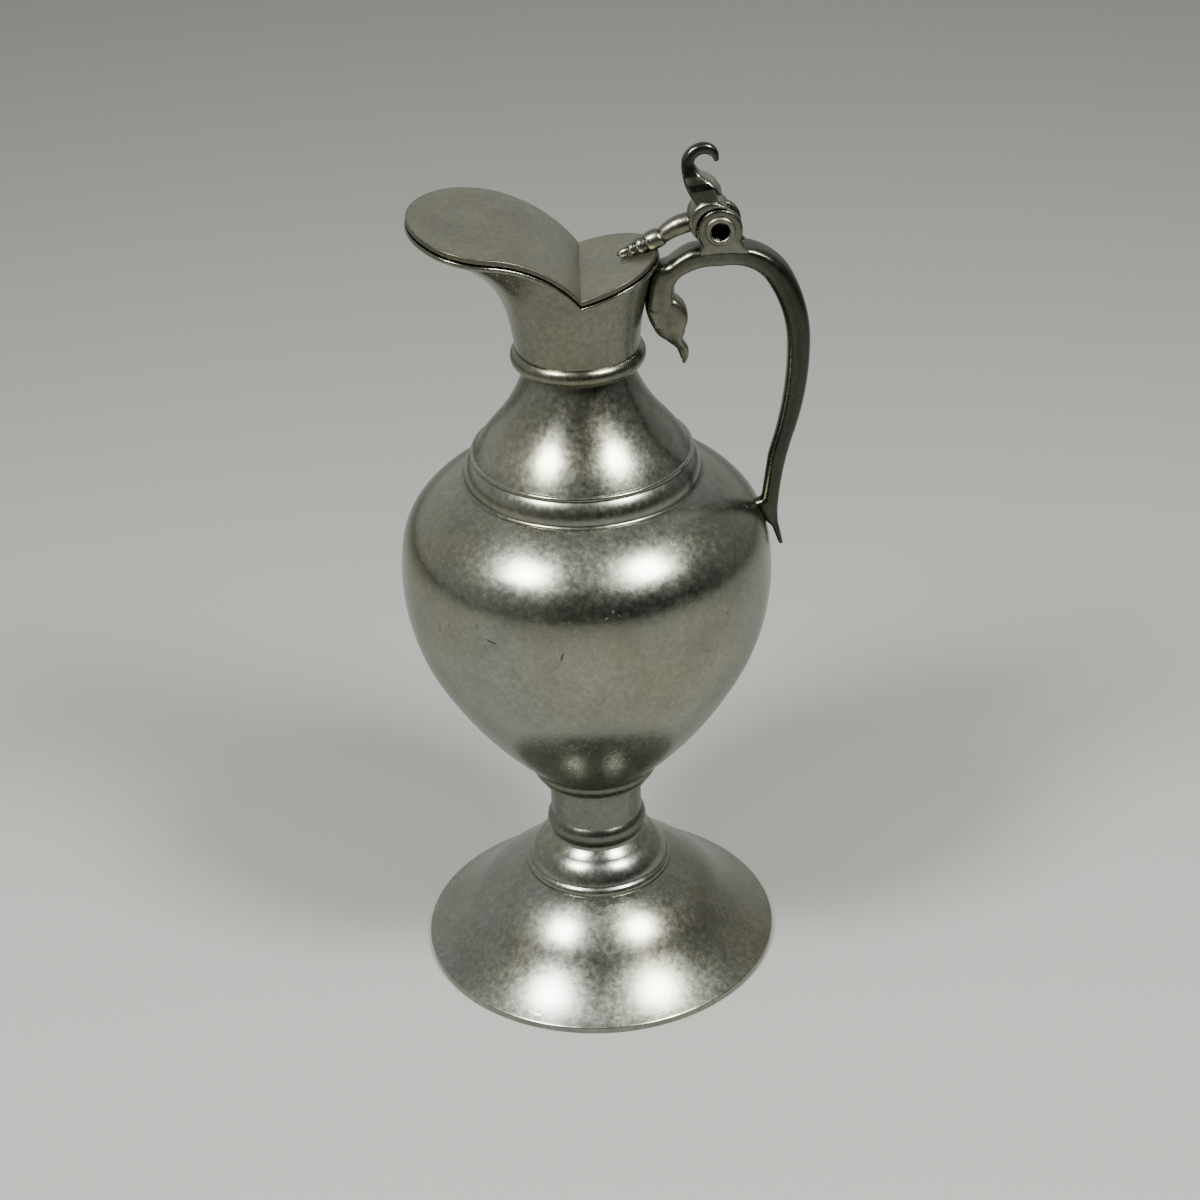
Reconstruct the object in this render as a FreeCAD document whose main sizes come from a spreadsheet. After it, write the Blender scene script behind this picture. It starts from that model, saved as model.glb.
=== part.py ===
import FreeCAD, Part
import math
import os
import re

import Sketcher

# Lidded pewter pitcher: a turned and soldered vessel on a bell foot, with a spouted mouth,
# a hinged lid that follows the dip of the rim, and a cast handle that carries the hinge.
# Frame: origin at the centre of the foot's ring face, +Z up, spout towards -X, handle towards +X.

# Driving dimensions in millimetres, one list for each group of pieces
FOOT_SIZES = {
    "foot_radius": 60.0,
    "foot_rim_height": 2.1,
    "foot_rim_width": 3.2,
    "foot_height": 30.0,
    "foot_wall": 2.0,
    "foot_flare_depth": 1.3,
    "foot_top_radius": 24.9,
    "foot_seat_width": 2.4,
    "cap_height": 14.0,
    "cap_ridge_inset": 1.0,
    "cap_ridge_height": 2.9,
    "cap_cove_depth": 0.5,
    "cap_dome_rise": 2.2,
    "cap_collar_width": 0.7,
    "cap_collar_height": 1.3,
}
STEM_SIZES = {
    "stem_radius": 15.4,
    "stem_wall": 2.4,
    "stem_length": 14.4,
    "stem_bead_height": 7.0,
    "stem_bead_bulge": 1.4,
    "socket_height": 11.1,
    "socket_lip_width": 3.2,
    "socket_lip_height": 1.4,
    "socket_cove_height": 3.8,
    "socket_cove_depth": 0.6,
    "socket_band_height": 1.3,
}
BOWL_SIZES = {
    "bowl_radius": 59.9,
    "bowl_wall": 1.8,
    "bowl_floor": 2.0,
    "seam_radius": 25.8,
    "lower_bowl_height": 69.5,
    "upper_bowl_height": 34.4,
    "shoulder_top_radius": 38.7,
    "shoulder_seat_width": 5.0,
}
NECK_SIZES = {
    "ring_height": 8.6,
    "ring_cove_width": 2.3,
    "ring_cove_height": 3.0,
    "ring_cove_depth": 0.5,
    "ring_band_height": 3.4,
    "ring_edge_width": 1.3,
    "ring_edge_round": 0.4,
    "neck_inset": 0.5,
    "neck_height": 30.45,
    "neck_wall": 1.8,
    "neck_cove_depth": 1.4,
    "neck_top_radius": 16.75,
    "neck_bead_height": 5.6,
    "neck_bead_seat": 3.05,
    "neck_bead_bulge": 1.45,
}
MOUTH_SIZES = {
    "mouth_inset": 0.3,
    "mouth_wall": 1.8,
    "crease_height": 24.45,
    "crease_set": 1.6,
    "crease_width": 22.4,
    "rear_reach": 25.6,
    "rear_rise": 7.1,
    "spout_reach": 50.4,
    "spout_rise": 20.9,
    "spout_width": 27.5,
    "lip_thickness": 1.5,
    "lip_overhang": 0.9,
    "lip_margin": 0.5,
    "lid_thickness": 1.7,
    "lid_gap": 0.5,
}
HANDLE_SIZES = {
    "handle_overhang": 12.3,
    "handle_depth": 7.2,
    "handle_edge": 1.3,
    "arch_depth": 5.0,
    "grip_height": 20.0,
    "grip_overhang": 2.3,
    "grip_rise": 2.4,
    "grip_length": 6.4,
    "tail_length": 14.4,
    "tail_width": 4.4,
    "tail_curl": 1.4,
    "root_drop": 25.6,
    "root_sink": 7.0,
    "root_bulge": 0.4,
    "leaf_width": 7.0,
    "leaf_length": 22.5,
    "leaf_reach": 9.9,
    "leaf_lean": 2.5,
    "leaf_bulge": 1.1,
    "leaf_tip_width": 2.0,
    "leaf_edge": 0.9,
}
HINGE_SIZES = {
    "hinge_setback": 18.8,
    "hinge_rise": 13.5,
    "cheek_radius": 6.7,
    "cheek_thickness": 3.0,
    "cheek_base": 8.0,
    "cheek_spread": 8.4,
    "cheek_foot": 6.2,
    "dish_radius": 4.3,
    "dish_depth": 0.9,
    "tongue_width": 4.0,
    "side_gap": 0.3,
    "turning_gap": 0.45,
    "pin_radius": 2.9,
    "pin_clearance": 0.05,
    "pin_rim_radius": 3.9,
    "pin_rim_stand": 0.3,
    "pin_rim_round": 0.35,
    "pin_bore_radius": 2.4,
    "pin_bore_depth": 3.2,
}
LID_FITTING_SIZES = {
    "lobe_radius": 6.7,
    "lobe_back": 3.2,
    "lobe_rise": 3.0,
    "lobe_edge": 1.6,
    "thumb_seat_rise": 7.8,
    "arm_seat_back": 9.0,
    "arm_radius": 2.9,
    "arm_rise": 1.7,
    "bead_root_reach": 2.0,
    "bead_root_height": 3.1,
    "bead_tip_height": 1.5,
    "bead_length": 15.0,
    "bead_bulge": 0.35,
    "thumb_width": 8.6,
    "thumb_crown_width": 3.0,
    "thumb_height": 18.8,
    "thumb_spread": 11.4,
    "thumb_belly": 0.9,
    "thumb_hook": 3.0,
    "thumb_edge": 0.6,
}
FIT_SIZES = {
    "solder_gap": 0.1,
    "cut_overrun": 6.0,
}

doc = FreeCAD.newDocument("Pitcher")
sheet = doc.addObject("Spreadsheet::Sheet", "Sizes")


def fill_sheet():
    """Write each size into its own cell, as text, under its own alias."""
    row = 1
    groups = [FOOT_SIZES, STEM_SIZES, BOWL_SIZES, NECK_SIZES, MOUTH_SIZES]
    groups += [HANDLE_SIZES, HINGE_SIZES, LID_FITTING_SIZES, FIT_SIZES]
    for group in groups:
        for name, size in group.items():
            sheet.set(f"A{row}", name)
            sheet.set(f"B{row}", str(size))
            sheet.setAlias(f"B{row}", name)
            row += 1
    doc.recompute()


def bound(text):
    """A sum of sizes, with each size's name pointed at its cell."""
    return re.sub(r"\b[a-z]+(?:_[a-z]+)+\b", r"Sizes.\g<0>", text)


def value(text):
    """The length that a sum of sizes comes to."""
    return float(sheet.evalExpression(bound(text)))


def between(low, high, share):
    """A place between two others, as a share of the way."""
    return f"(({low}) + ({share}) * (({high}) - ({low})))"


# The pieces of the vessel stand on each other: each level is the sum of the heights below it
STACK = ["foot", "cap", "stem_bead", "stem", "socket",
         "lower_bowl", "upper_bowl", "ring", "neck", "neck_bead"]


def level(piece):
    """Height of the face that a stacked piece stands on."""
    below = STACK[: STACK.index(piece)] if piece in STACK else STACK
    heights = [f"{name}_length" if name == "stem" else f"{name}_height" for name in below]
    return "(" + " + ".join(heights) + ")" if heights else "0"


MOUTH_LEVEL = level("mouth")
CREASE_LEVEL = f"({MOUTH_LEVEL} + crease_height)"
HINGE_X = "(rear_reach + hinge_setback)"
HINGE_Z = f"({CREASE_LEVEL} + hinge_rise)"
HANDLE_X = "(bowl_radius + handle_overhang)"
GRIP_Z = f"({level('upper_bowl')} + grip_height)"
GRIP_X = "(bowl_radius + grip_overhang)"
HINGE_WIDTH = "(tongue_width + 2 * side_gap + 2 * cheek_thickness)"


# Sketches and features
def new_body(label):
    body = doc.addObject("PartDesign::Body", label + "_body")
    body.Label = label
    return body


def new_sketch(body, name, role, shift=("0", "0", "0")):
    """An empty sketch on one of the body's own origin planes, shifted across, up and along its normal."""
    sketch = body.newObject("Sketcher::SketchObject", name)
    plane = [item for item in body.Origin.OriginFeatures if item.Role == role][0]
    sketch.AttachmentSupport = (plane, [""])
    sketch.MapMode = "FlatFace"
    for axis, text in zip("xyz", shift):
        if text != "0":
            sketch.setExpression(f"AttachmentOffset.Base.{axis}", bound(text))
    return sketch


def arc_centre(start, end, heading):
    """Centre of the arc that leaves start along heading and reaches end."""
    chord = end - start
    normal = FreeCAD.Vector(-heading.y, heading.x, 0)
    return start + normal * (chord.dot(chord) / (2 * chord.dot(normal)))


def arc_heading(centre, point, turns_left):
    """Direction of travel at a point of an arc."""
    spoke = point - centre
    ahead = FreeCAD.Vector(-spoke.y, spoke.x, 0)
    return ahead if turns_left else -ahead


def axis_heading(bend, chord):
    """The upright or level direction that an arc starts along."""
    if bend.startswith("upright"):
        return FreeCAD.Vector(0, math.copysign(1, chord.y), 0)
    return FreeCAD.Vector(math.copysign(1, chord.x), 0, 0)


def solve_edge(start, end, bend, heading_in, heading_out):
    """Centre and sense of one edge, None for a straight one, or False if a neighbour is still unknown."""
    chord = end - start
    if bend is None:
        return None
    if isinstance(bend, tuple):
        rise = value(bend[1])
        radius = chord.dot(chord) / (8 * rise) + rise / 2
        left = FreeCAD.Vector(-chord.y, chord.x, 0).normalize()
        return start + chord * 0.5 + left * (rise - radius), rise < 0
    if bend == "tangent":
        heading = heading_in
    elif bend == "tangent_next":
        heading = -heading_out if heading_out else None
    elif bend.endswith("_end"):
        heading = axis_heading(bend, -chord)
    else:
        heading = axis_heading(bend, chord)
    if heading is None:
        return False
    backwards = bend == "tangent_next" or bend.endswith("_end")
    first, last = (end, start) if backwards else (start, end)
    centre = arc_centre(first, last, heading)
    turns_left = heading.cross(centre - first).z > 0
    return centre, turns_left != backwards


def draw(sketch, steps):
    """Closed outline of lines and arcs. Each step is (x, y, bend): a corner in sums of sizes, and how
    the edge that ends there runs: None is straight, ("rise", r) an arc that rises r to the left of its
    chord, tangent follows the edge before, tangent_next meets the edge after, and upright, upright_end,
    level or level_end start or end along an axis."""
    count = len(steps)
    corners = [FreeCAD.Vector(value(x), value(y), 0) for x, y, bend in steps]
    edges = [False] * count

    def heading(index, at_end):
        if edges[index] is False:
            return None
        start, end = corners[index - 1], corners[index]
        if edges[index] is None:
            return end - start
        centre, turns_left = edges[index]
        return arc_heading(centre, end if at_end else start, turns_left)

    while False in edges:
        for index, (x, y, bend) in enumerate(steps):
            if edges[index] is False:
                before = heading(index - 1, True)
                after = heading((index + 1) % count, False)
                edges[index] = solve_edge(corners[index - 1], corners[index], bend, before, after)

    ends = []
    for index, edge in enumerate(edges):
        start, end = corners[index - 1], corners[index]
        if edge is None:
            number = sketch.addGeometry(Part.LineSegment(start, end))
            ends.append((number, 1, 2))
            continue
        centre, turns_left = edge
        first, last = (start, end) if turns_left else (end, start)
        low = math.atan2(first.y - centre.y, first.x - centre.x)
        high = math.atan2(last.y - centre.y, last.x - centre.x)
        high += 2 * math.pi if high <= low else 0
        circle = Part.Circle(centre, FreeCAD.Vector(0, 0, 1), (start - centre).Length)
        number = sketch.addGeometry(Part.ArcOfCircle(circle, low, high))
        ends.append((number, 1, 2) if turns_left else (number, 2, 1))

    for index, (x, y, bend) in enumerate(steps):
        number, start_point, end_point = ends[index]
        following = (index + 1) % count
        smooth = bend == "tangent_next" or steps[following][2] == "tangent"
        kind = "Tangent" if smooth else "Coincident"
        next_number, next_point = ends[following][:2]
        sketch.addConstraint(Sketcher.Constraint(kind, number, end_point, next_number, next_point))
        hold(sketch, "DistanceX", number, end_point, x)
        hold(sketch, "DistanceY", number, end_point, y)
        if isinstance(bend, tuple):
            x0, y0, bend0 = steps[index - 1]
            chord_squared = f"(({x} - ({x0}))^2 + ({y} - ({y0}))^2)"
            radius = f"{chord_squared} / (8 * abs({bend[1]})) + abs({bend[1]}) / 2"
            place = sketch.addConstraint(Sketcher.Constraint("Radius", number, value(radius)))
            sketch.setExpression(f"Constraints[{place}]", bound(radius))
        elif bend in ("upright", "upright_end"):
            hold(sketch, "DistanceY", number, 3, y if bend.endswith("_end") else steps[index - 1][1])
        elif bend in ("level", "level_end"):
            hold(sketch, "DistanceX", number, 3, x if bend.endswith("_end") else steps[index - 1][0])


def hold(sketch, kind, number, point, text):
    """Tie one coordinate of a point to a sum of sizes, or to the axis where it is zero."""
    if text == "0":
        axis = -2 if kind == "DistanceX" else -1
        sketch.addConstraint(Sketcher.Constraint("PointOnObject", number, point, axis))
        return
    place = sketch.addConstraint(Sketcher.Constraint(kind, number, point, value(text)))
    sketch.setExpression(f"Constraints[{place}]", bound(text))


def draw_circle(sketch, x, y, radius):
    centre = FreeCAD.Vector(value(x), value(y), 0)
    number = sketch.addGeometry(Part.Circle(centre, FreeCAD.Vector(0, 0, 1), value(radius)))
    hold(sketch, "DistanceX", number, 3, x)
    hold(sketch, "DistanceY", number, 3, y)
    place = sketch.addConstraint(Sketcher.Constraint("Radius", number, value(radius)))
    sketch.setExpression(f"Constraints[{place}]", bound(radius))


def revolve(body, sketch, axis="V_Axis"):
    """Turn a sketch about one of its own axes."""
    feature = body.newObject("PartDesign::Revolution", sketch.Name + "_turned")
    feature.Profile = sketch
    feature.ReferenceAxis = (sketch, [axis])
    feature.Angle = 360.0
    return feature


def turned(label, steps):
    """A sub-part that is one outline of radius and height, turned about the vertical axis."""
    body = new_body(label)
    sketch = new_sketch(body, label + "_outline", "XZ_Plane")
    draw(sketch, steps)
    revolve(body, sketch)
    return body


def pad(body, sketch, length, symmetric=True):
    feature = body.newObject("PartDesign::Pad", sketch.Name + "_pad")
    feature.Profile = sketch
    feature.SideType = "Symmetric" if symmetric else "One side"
    feature.setExpression("Length", bound(length))
    return feature


def pocket(body, sketch, length=None):
    """Cut an outline both ways through everything, or to a depth against its normal."""
    feature = body.newObject("PartDesign::Pocket", sketch.Name + "_cut")
    feature.Profile = sketch
    if length is None:
        feature.Type = "ThroughAll"
        feature.SideType = "Symmetric"
    else:
        feature.setExpression("Length", bound(length))
    return feature


def round_edges(body, base, radius, wanted):
    """Round the edges of the last feature that wanted picks."""
    doc.recompute()
    names = [f"Edge{number}" for number, edge in enumerate(base.Shape.Edges, start=1) if wanted(edge)]
    feature = body.newObject("PartDesign::Fillet", base.Name + "_round")
    feature.Base = (base, names)
    feature.setExpression("Radius", bound(radius))
    return feature


# Foot: bell with an upright rim, flat seat on top, open underneath. The flank turns from hollow to round
# at shares of its width and height.
FOOT_TURN_SHARES = (0.473, 0.583)
FOOT_WALL_SHARES = (0.79, 0.62)
CAP_BASE_RADIUS = "(foot_top_radius - foot_seat_width)"


def make_foot():
    turn_radius = between("foot_top_radius", "foot_radius", FOOT_TURN_SHARES[0])
    turn_height = f"foot_height * {FOOT_TURN_SHARES[1]}"
    return turned("foot", [
        ("foot_radius", "0", None),
        ("foot_radius", "foot_rim_height", None),
        (turn_radius, turn_height, ("rise", "foot_flare_depth")),
        ("foot_top_radius", "foot_height", "tangent"),
        (CAP_BASE_RADIUS, "foot_height", None),
        (CAP_BASE_RADIUS, "foot_height - foot_wall", None),
        (f"{turn_radius} - foot_wall * {FOOT_WALL_SHARES[0]}",
         f"{turn_height} - foot_wall * {FOOT_WALL_SHARES[1]}", "tangent_next"),
        ("foot_radius - foot_rim_width", "foot_rim_height / 2", ("rise", "-foot_flare_depth")),
        ("foot_radius - foot_rim_width", "0", None),
    ])


# Foot cap: small cove and ridge at its edge, then a dome up to the stem
def make_foot_cap():
    base, top = level("cap"), level("stem_bead")
    return turned("foot_cap", [
        ("foot_top_radius", base, None),
        ("foot_top_radius - cap_ridge_inset", f"{base} + cap_ridge_height", ("rise", "cap_cove_depth")),
        ("stem_radius + cap_collar_width", f"{top} - cap_collar_height", ("rise", "-cap_dome_rise")),
        ("stem_radius", top, ("rise", "cap_collar_width / 3")),
        ("stem_radius - stem_wall", top, None),
        (CAP_BASE_RADIUS, base, ("rise", "cap_dome_rise")),
    ])


# Stem: tube with a rolled bead at its foot
def make_stem():
    bead_base, stem_base, stem_top = level("stem_bead"), level("stem"), level("socket")
    bore = "stem_radius - stem_wall"
    bead = turned("stem_bead", [
        ("stem_radius", bead_base, None),
        ("stem_radius", stem_base, ("rise", "-stem_bead_bulge")),
        (bore, stem_base, None),
        (bore, bead_base, None),
    ])
    stem = turned("stem", [
        ("stem_radius", stem_base, None),
        ("stem_radius", stem_top, None),
        (bore, stem_top, None),
        (bore, stem_base, None),
    ])
    return [bead, stem]


# Bowl socket: stepped cup between stem and bowl
SOCKET_STEP_SHARE = 0.389


def make_bowl_socket():
    base, top = level("socket"), level("lower_bowl")
    lip_top = f"({base} + socket_lip_height)"
    step = f"({lip_top} + socket_cove_height)"
    lip_radius = "(stem_radius + socket_lip_width)"
    step_radius = between(lip_radius, "seam_radius", SOCKET_STEP_SHARE)
    bore = "stem_radius - stem_wall"
    return turned("bowl_socket", [
        (lip_radius, base, None),
        (lip_radius, lip_top, None),
        (step_radius, step, ("rise", "-socket_cove_depth")),
        (step_radius, f"{step} + socket_band_height", None),
        ("seam_radius", top, None),
        (lip_radius, top, None),
        (bore, step, None),
        (bore, base, None),
    ])


# Bowl: two shells that meet at the widest circle. Corners of their curves are shares of the way out from the
# narrow end to the widest circle, and of each shell's height; the inner curves lie a wall further in.
BELLY_SHARES = (0.754, 0.511)
BELLY_WALL_SHARES = (0.885, 0.466)
FLOOR_CORNER_SHARE = 0.33
RISE_SHARES = (0.953, 0.349)
RISE_WALL_SHARES = (0.986, 0.166)
TURN_SHARES = (0.712, 0.669)
TURN_WALL_SHARES = (0.764, 0.646)


def make_lower_bowl():
    base, top = level("lower_bowl"), level("upper_bowl")
    floor = f"({base} + bowl_floor)"
    belly_radius = between("seam_radius", "bowl_radius", BELLY_SHARES[0])
    belly = between(base, top, BELLY_SHARES[1])
    return turned("lower_bowl", [
        ("bowl_radius", top, None),
        (belly_radius, belly, "upright"),
        ("seam_radius", base, "tangent"),
        ("0", base, None),
        ("0", floor, None),
        (f"seam_radius - bowl_wall * {FLOOR_CORNER_SHARE}", floor, None),
        (f"{belly_radius} - bowl_wall * {BELLY_WALL_SHARES[0]}",
         f"{belly} + bowl_wall * {BELLY_WALL_SHARES[1]}", "tangent_next"),
        ("bowl_radius - bowl_wall", top, "upright_end"),
    ])


def shoulder_corner(shares, wall_shares, inset):
    """A corner of the shoulder's curve, moved in square to the wall."""
    across = between("shoulder_top_radius", "bowl_radius", shares[0])
    up = between(level("upper_bowl"), level("ring"), shares[1])
    return f"{across} - ({inset}) * {wall_shares[0]}", f"{up} - ({inset}) * {wall_shares[1]}"


def make_upper_bowl():
    base, top = level("upper_bowl"), level("ring")
    return turned("upper_bowl", [
        ("bowl_radius", base, None),
        (*shoulder_corner(RISE_SHARES, RISE_WALL_SHARES, "0"), "upright"),
        (*shoulder_corner(TURN_SHARES, TURN_WALL_SHARES, "0"), "tangent"),
        ("shoulder_top_radius", top, "tangent"),
        ("shoulder_top_radius - shoulder_seat_width", top, None),
        (*shoulder_corner(TURN_SHARES, TURN_WALL_SHARES, "bowl_wall"), "tangent_next"),
        (*shoulder_corner(RISE_SHARES, RISE_WALL_SHARES, "bowl_wall"), "tangent_next"),
        ("bowl_radius - bowl_wall", base, "upright_end"),
    ])


def make_shoulder_seat():
    """The shoulder's outside as a solid, grown by the solder's thickness, to fit the handle to it."""
    base, top = level("upper_bowl"), level("ring")
    return turned("shoulder_seat", [
        ("bowl_radius + solder_gap", base, None),
        (*shoulder_corner(RISE_SHARES, RISE_WALL_SHARES, "-solder_gap"), "upright"),
        (*shoulder_corner(TURN_SHARES, TURN_WALL_SHARES, "-solder_gap"), "tangent"),
        ("shoulder_top_radius + solder_gap", top, "tangent"),
        ("0", top, None),
        ("0", base, None),
    ])


# Shoulder ring: cove, upright band and rounded top edge
RING_BAND_RADIUS = "(shoulder_top_radius - ring_cove_width)"
RING_TOP_RADIUS = f"({RING_BAND_RADIUS} - ring_edge_width)"


def make_shoulder_ring():
    base, top = level("ring"), level("neck")
    bore = "shoulder_top_radius - shoulder_seat_width"
    band = f"({base} + ring_cove_height)"
    return turned("shoulder_ring", [
        ("shoulder_top_radius", base, None),
        (RING_BAND_RADIUS, band, ("rise", "ring_cove_depth")),
        (RING_BAND_RADIUS, f"{band} + ring_band_height", None),
        (RING_TOP_RADIUS, top, ("rise", "-ring_edge_round")),
        (f"{bore} - ring_edge_round", top, None),
        (bore, base, None),
    ])


# Neck: bell that draws in to the bead, turning from round to hollow at shares of its width and height
NECK_TURN_SHARES = (0.6415, 0.2956)
NECK_WALL_SHARES = (0.749, 0.663)
NECK_BASE_WALL_SHARE = 1.1
NECK_BASE_RADIUS = f"({RING_TOP_RADIUS} - neck_inset)"
NECK_BORE = "(neck_top_radius - neck_wall)"
BEAD_SEAT_RADIUS = "(neck_top_radius + neck_bead_seat)"


def make_neck():
    base, top = level("neck"), level("neck_bead")
    turn_radius = between("neck_top_radius", NECK_BASE_RADIUS, NECK_TURN_SHARES[0])
    turn = between(base, top, NECK_TURN_SHARES[1])
    return turned("neck", [
        (NECK_BASE_RADIUS, base, None),
        (turn_radius, turn, "tangent_next"),
        ("neck_top_radius", top, ("rise", "neck_cove_depth")),
        (NECK_BORE, top, None),
        (f"{turn_radius} - neck_wall * {NECK_WALL_SHARES[0]}",
         f"{turn} - neck_wall * {NECK_WALL_SHARES[1]}", ("rise", "-neck_cove_depth")),
        (f"{NECK_BASE_RADIUS} - neck_wall * {NECK_BASE_WALL_SHARE}", base, "tangent"),
    ])


def make_neck_bead():
    base, top = level("neck_bead"), MOUTH_LEVEL
    return turned("neck_bead", [
        (BEAD_SEAT_RADIUS, base, None),
        (BEAD_SEAT_RADIUS, top, ("rise", "-neck_bead_bulge")),
        (NECK_BORE, top, None),
        (NECK_BORE, base, None),
    ])


# Mouth: a round cup drawn out to a wide spout. Its plan is a blunt front lobe and a round rear lobe that
# meet in a crease; seen from the side the rim falls from the spout in a bend, and rises again behind.
# Corners of the plan and of the bend are shares of the spout's reach, width and rise.
MOUTH_BASE_RADIUS = f"({BEAD_SEAT_RADIUS} - mouth_inset)"
LOBE_SHARE = 0.496
LOBE_REACH = f"(spout_reach * {LOBE_SHARE})"
TIP_TURN_SHARES = (0.833, 0.789)
TIP_TURN_REACH = f"(spout_reach * {TIP_TURN_SHARES[0]})"
TIP_TURN_WIDTH = f"(spout_width * {TIP_TURN_SHARES[1]})"
BEND_SHARES = (0.516, 0.804)
BEND_REACH = f"(spout_reach * {BEND_SHARES[0]})"
BEND_RISE = f"(spout_rise * {BEND_SHARES[1]})"
FLARE_SHARES = (0.0, 0.2, 0.4, 0.6, 0.8, 1.0)
SPOUT_FLARE_POWER_SHARE = 3.4
REAR_FLARE_POWER_SHARE = 1.6
SPOUT_CONE_SHARE = 0.18
CREASE_ANGLE_SHARE = 0.47
LINE_STEPS = 4
CORNER_STEPS = 5
TIP_STEPS = 8
REAR_STEPS = 12


def fan(centre, radius, start, end, count):
    """Points and outward normals along an arc, without its last point."""
    found = []
    for step in range(count):
        angle = start + (end - start) * step / count
        normal = FreeCAD.Vector(math.cos(angle), math.sin(angle), 0)
        found.append((centre + normal * radius, normal))
    return found


def plan_lobes():
    """The rim's plan as points with normals: front lobe from crease to crease, then the rear lobe."""
    crease = FreeCAD.Vector(value("crease_set"), value("crease_width"), 0)
    lobe = FreeCAD.Vector(-value(LOBE_REACH), value("spout_width"), 0)
    turn = FreeCAD.Vector(-value(TIP_TURN_REACH), value(TIP_TURN_WIDTH), 0)
    tip_depth = value("spout_reach") + turn.x
    tip_radius = (turn.y**2 + tip_depth**2) / (2 * tip_depth)
    tip_centre = FreeCAD.Vector(tip_radius - value("spout_reach"), 0, 0)
    tip_angle = math.atan2(turn.y, turn.x - tip_centre.x)
    corner_centre = arc_centre(turn, lobe, arc_heading(tip_centre, turn, False))
    corner_radius = (lobe - corner_centre).Length
    lobe_angle = math.atan2(lobe.y - corner_centre.y, lobe.x - corner_centre.x)
    rear_depth = value("rear_reach") - crease.x
    rear_radius = (crease.y**2 + rear_depth**2) / (2 * rear_depth)
    rear_centre = FreeCAD.Vector(value("rear_reach") - rear_radius, 0, 0)
    rear_angle = math.atan2(crease.y, crease.x - rear_centre.x)

    side = FreeCAD.Vector(0, 1, 0)
    half = []
    for step in range(LINE_STEPS):
        half.append((crease + (lobe - crease) * (step / LINE_STEPS), side))
    half += fan(corner_centre, corner_radius, lobe_angle, tip_angle, CORNER_STEPS)
    tip = fan(tip_centre, tip_radius, tip_angle, 2 * math.pi - tip_angle, TIP_STEPS)
    mirrored = [(FreeCAD.Vector(p.x, -p.y, 0), FreeCAD.Vector(n.x, -n.y, 0)) for p, n in half]
    tip_end = (FreeCAD.Vector(turn.x, -turn.y, 0), FreeCAD.Vector(tip[0][1].x, -tip[0][1].y, 0))
    front = half + tip + [tip_end] + mirrored[::-1]
    rear = fan(rear_centre, rear_radius, -rear_angle, rear_angle, REAR_STEPS)
    rear[0] = (FreeCAD.Vector(crease.x, -crease.y, 0), -side)
    rear.append((crease, side))
    return front, rear


def rim_height(x):
    """Height of the lid's upper face over a place along the pitcher."""
    crease_x, crease_z = value("crease_set"), value(CREASE_LEVEL)
    if x >= crease_x:
        slope = value("rear_rise") / (value("rear_reach") - crease_x)
        return crease_z + (x - crease_x) * slope
    bend = FreeCAD.Vector(-value(BEND_REACH), crease_z + value(BEND_RISE), 0)
    tip = FreeCAD.Vector(-value("spout_reach"), crease_z + value("spout_rise"), 0)
    if x <= bend.x:
        return bend.y + (x - bend.x) * (tip.y - bend.y) / (tip.x - bend.x)
    centre = arc_centre(bend, FreeCAD.Vector(crease_x, crease_z, 0), (bend - tip).normalize())
    radius = (bend - centre).Length
    return centre.y + math.sqrt(radius**2 - (x - centre.x) ** 2)


def mouth_wire(share, inset, drop, base_radius):
    """Closed curve at a share of the way from the mouth's round foot to its rim. The rim's plan is
    drawn in by inset and lies drop below the lid's upper face. Between foot and rim the curve moves
    out by a power of the share, gently behind and strongly at the spout."""
    base_z = value(MOUTH_LEVEL)
    crease_angle = math.pi * CREASE_ANGLE_SHARE
    spans = ((crease_angle, 2 * math.pi - crease_angle), (-crease_angle, crease_angle))
    edges = []
    for lobe, (first, last) in zip(plan_lobes(), spans):
        lengths = [0.0]
        for before, after in zip(lobe, lobe[1:]):
            lengths.append(lengths[-1] + (after[0] - before[0]).Length)
        points = []
        for (place, normal), length in zip(lobe, lengths):
            angle = first + (last - first) * length / lengths[-1]
            foot = FreeCAD.Vector(math.cos(angle), math.sin(angle), 0) * base_radius
            rim = place - normal * inset
            spout = (1 - math.cos(angle)) / 2
            cone = SPOUT_CONE_SHARE * share + (1 - SPOUT_CONE_SHARE) * share**SPOUT_FLARE_POWER_SHARE
            flare = spout * cone + (1 - spout) * share**REAR_FLARE_POWER_SHARE
            point = foot + (rim - foot) * flare
            point.z = base_z + share * (rim_height(rim.x) - drop - base_z)
            points.append(point)
        curve = Part.BSplineCurve()
        curve.interpolate(points)
        edges.append(curve.toShape())
    return Part.Wire(edges)


def skin(wires, straight=False):
    return Part.makeLoft(wires, False, straight).Faces


def closed_solid(faces):
    shell = Part.Shell(faces)
    shell.sewShape()
    return Part.Solid(shell)


def mouth_solid():
    under = value("lid_thickness + lid_gap + lip_thickness")
    over = value("lid_thickness + lid_gap")
    wall, overhang, margin = value("mouth_wall"), value("lip_overhang"), value("lip_margin")
    base = value(MOUTH_BASE_RADIUS)
    outside = [mouth_wire(share, overhang, under, base) for share in FLARE_SHARES]
    inside = [mouth_wire(share, overhang + wall, over, base - wall) for share in FLARE_SHARES]
    lip_under = mouth_wire(1.0, -margin, under, base)
    lip_over = mouth_wire(1.0, -margin, over, base)
    faces = skin(outside) + skin(inside)
    faces += skin([outside[-1], lip_under], True)
    faces += skin([lip_under, lip_over], True)
    faces += skin([lip_over, inside[-1]], True)
    faces += skin([inside[0], outside[0]], True)
    return closed_solid(faces)


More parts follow.
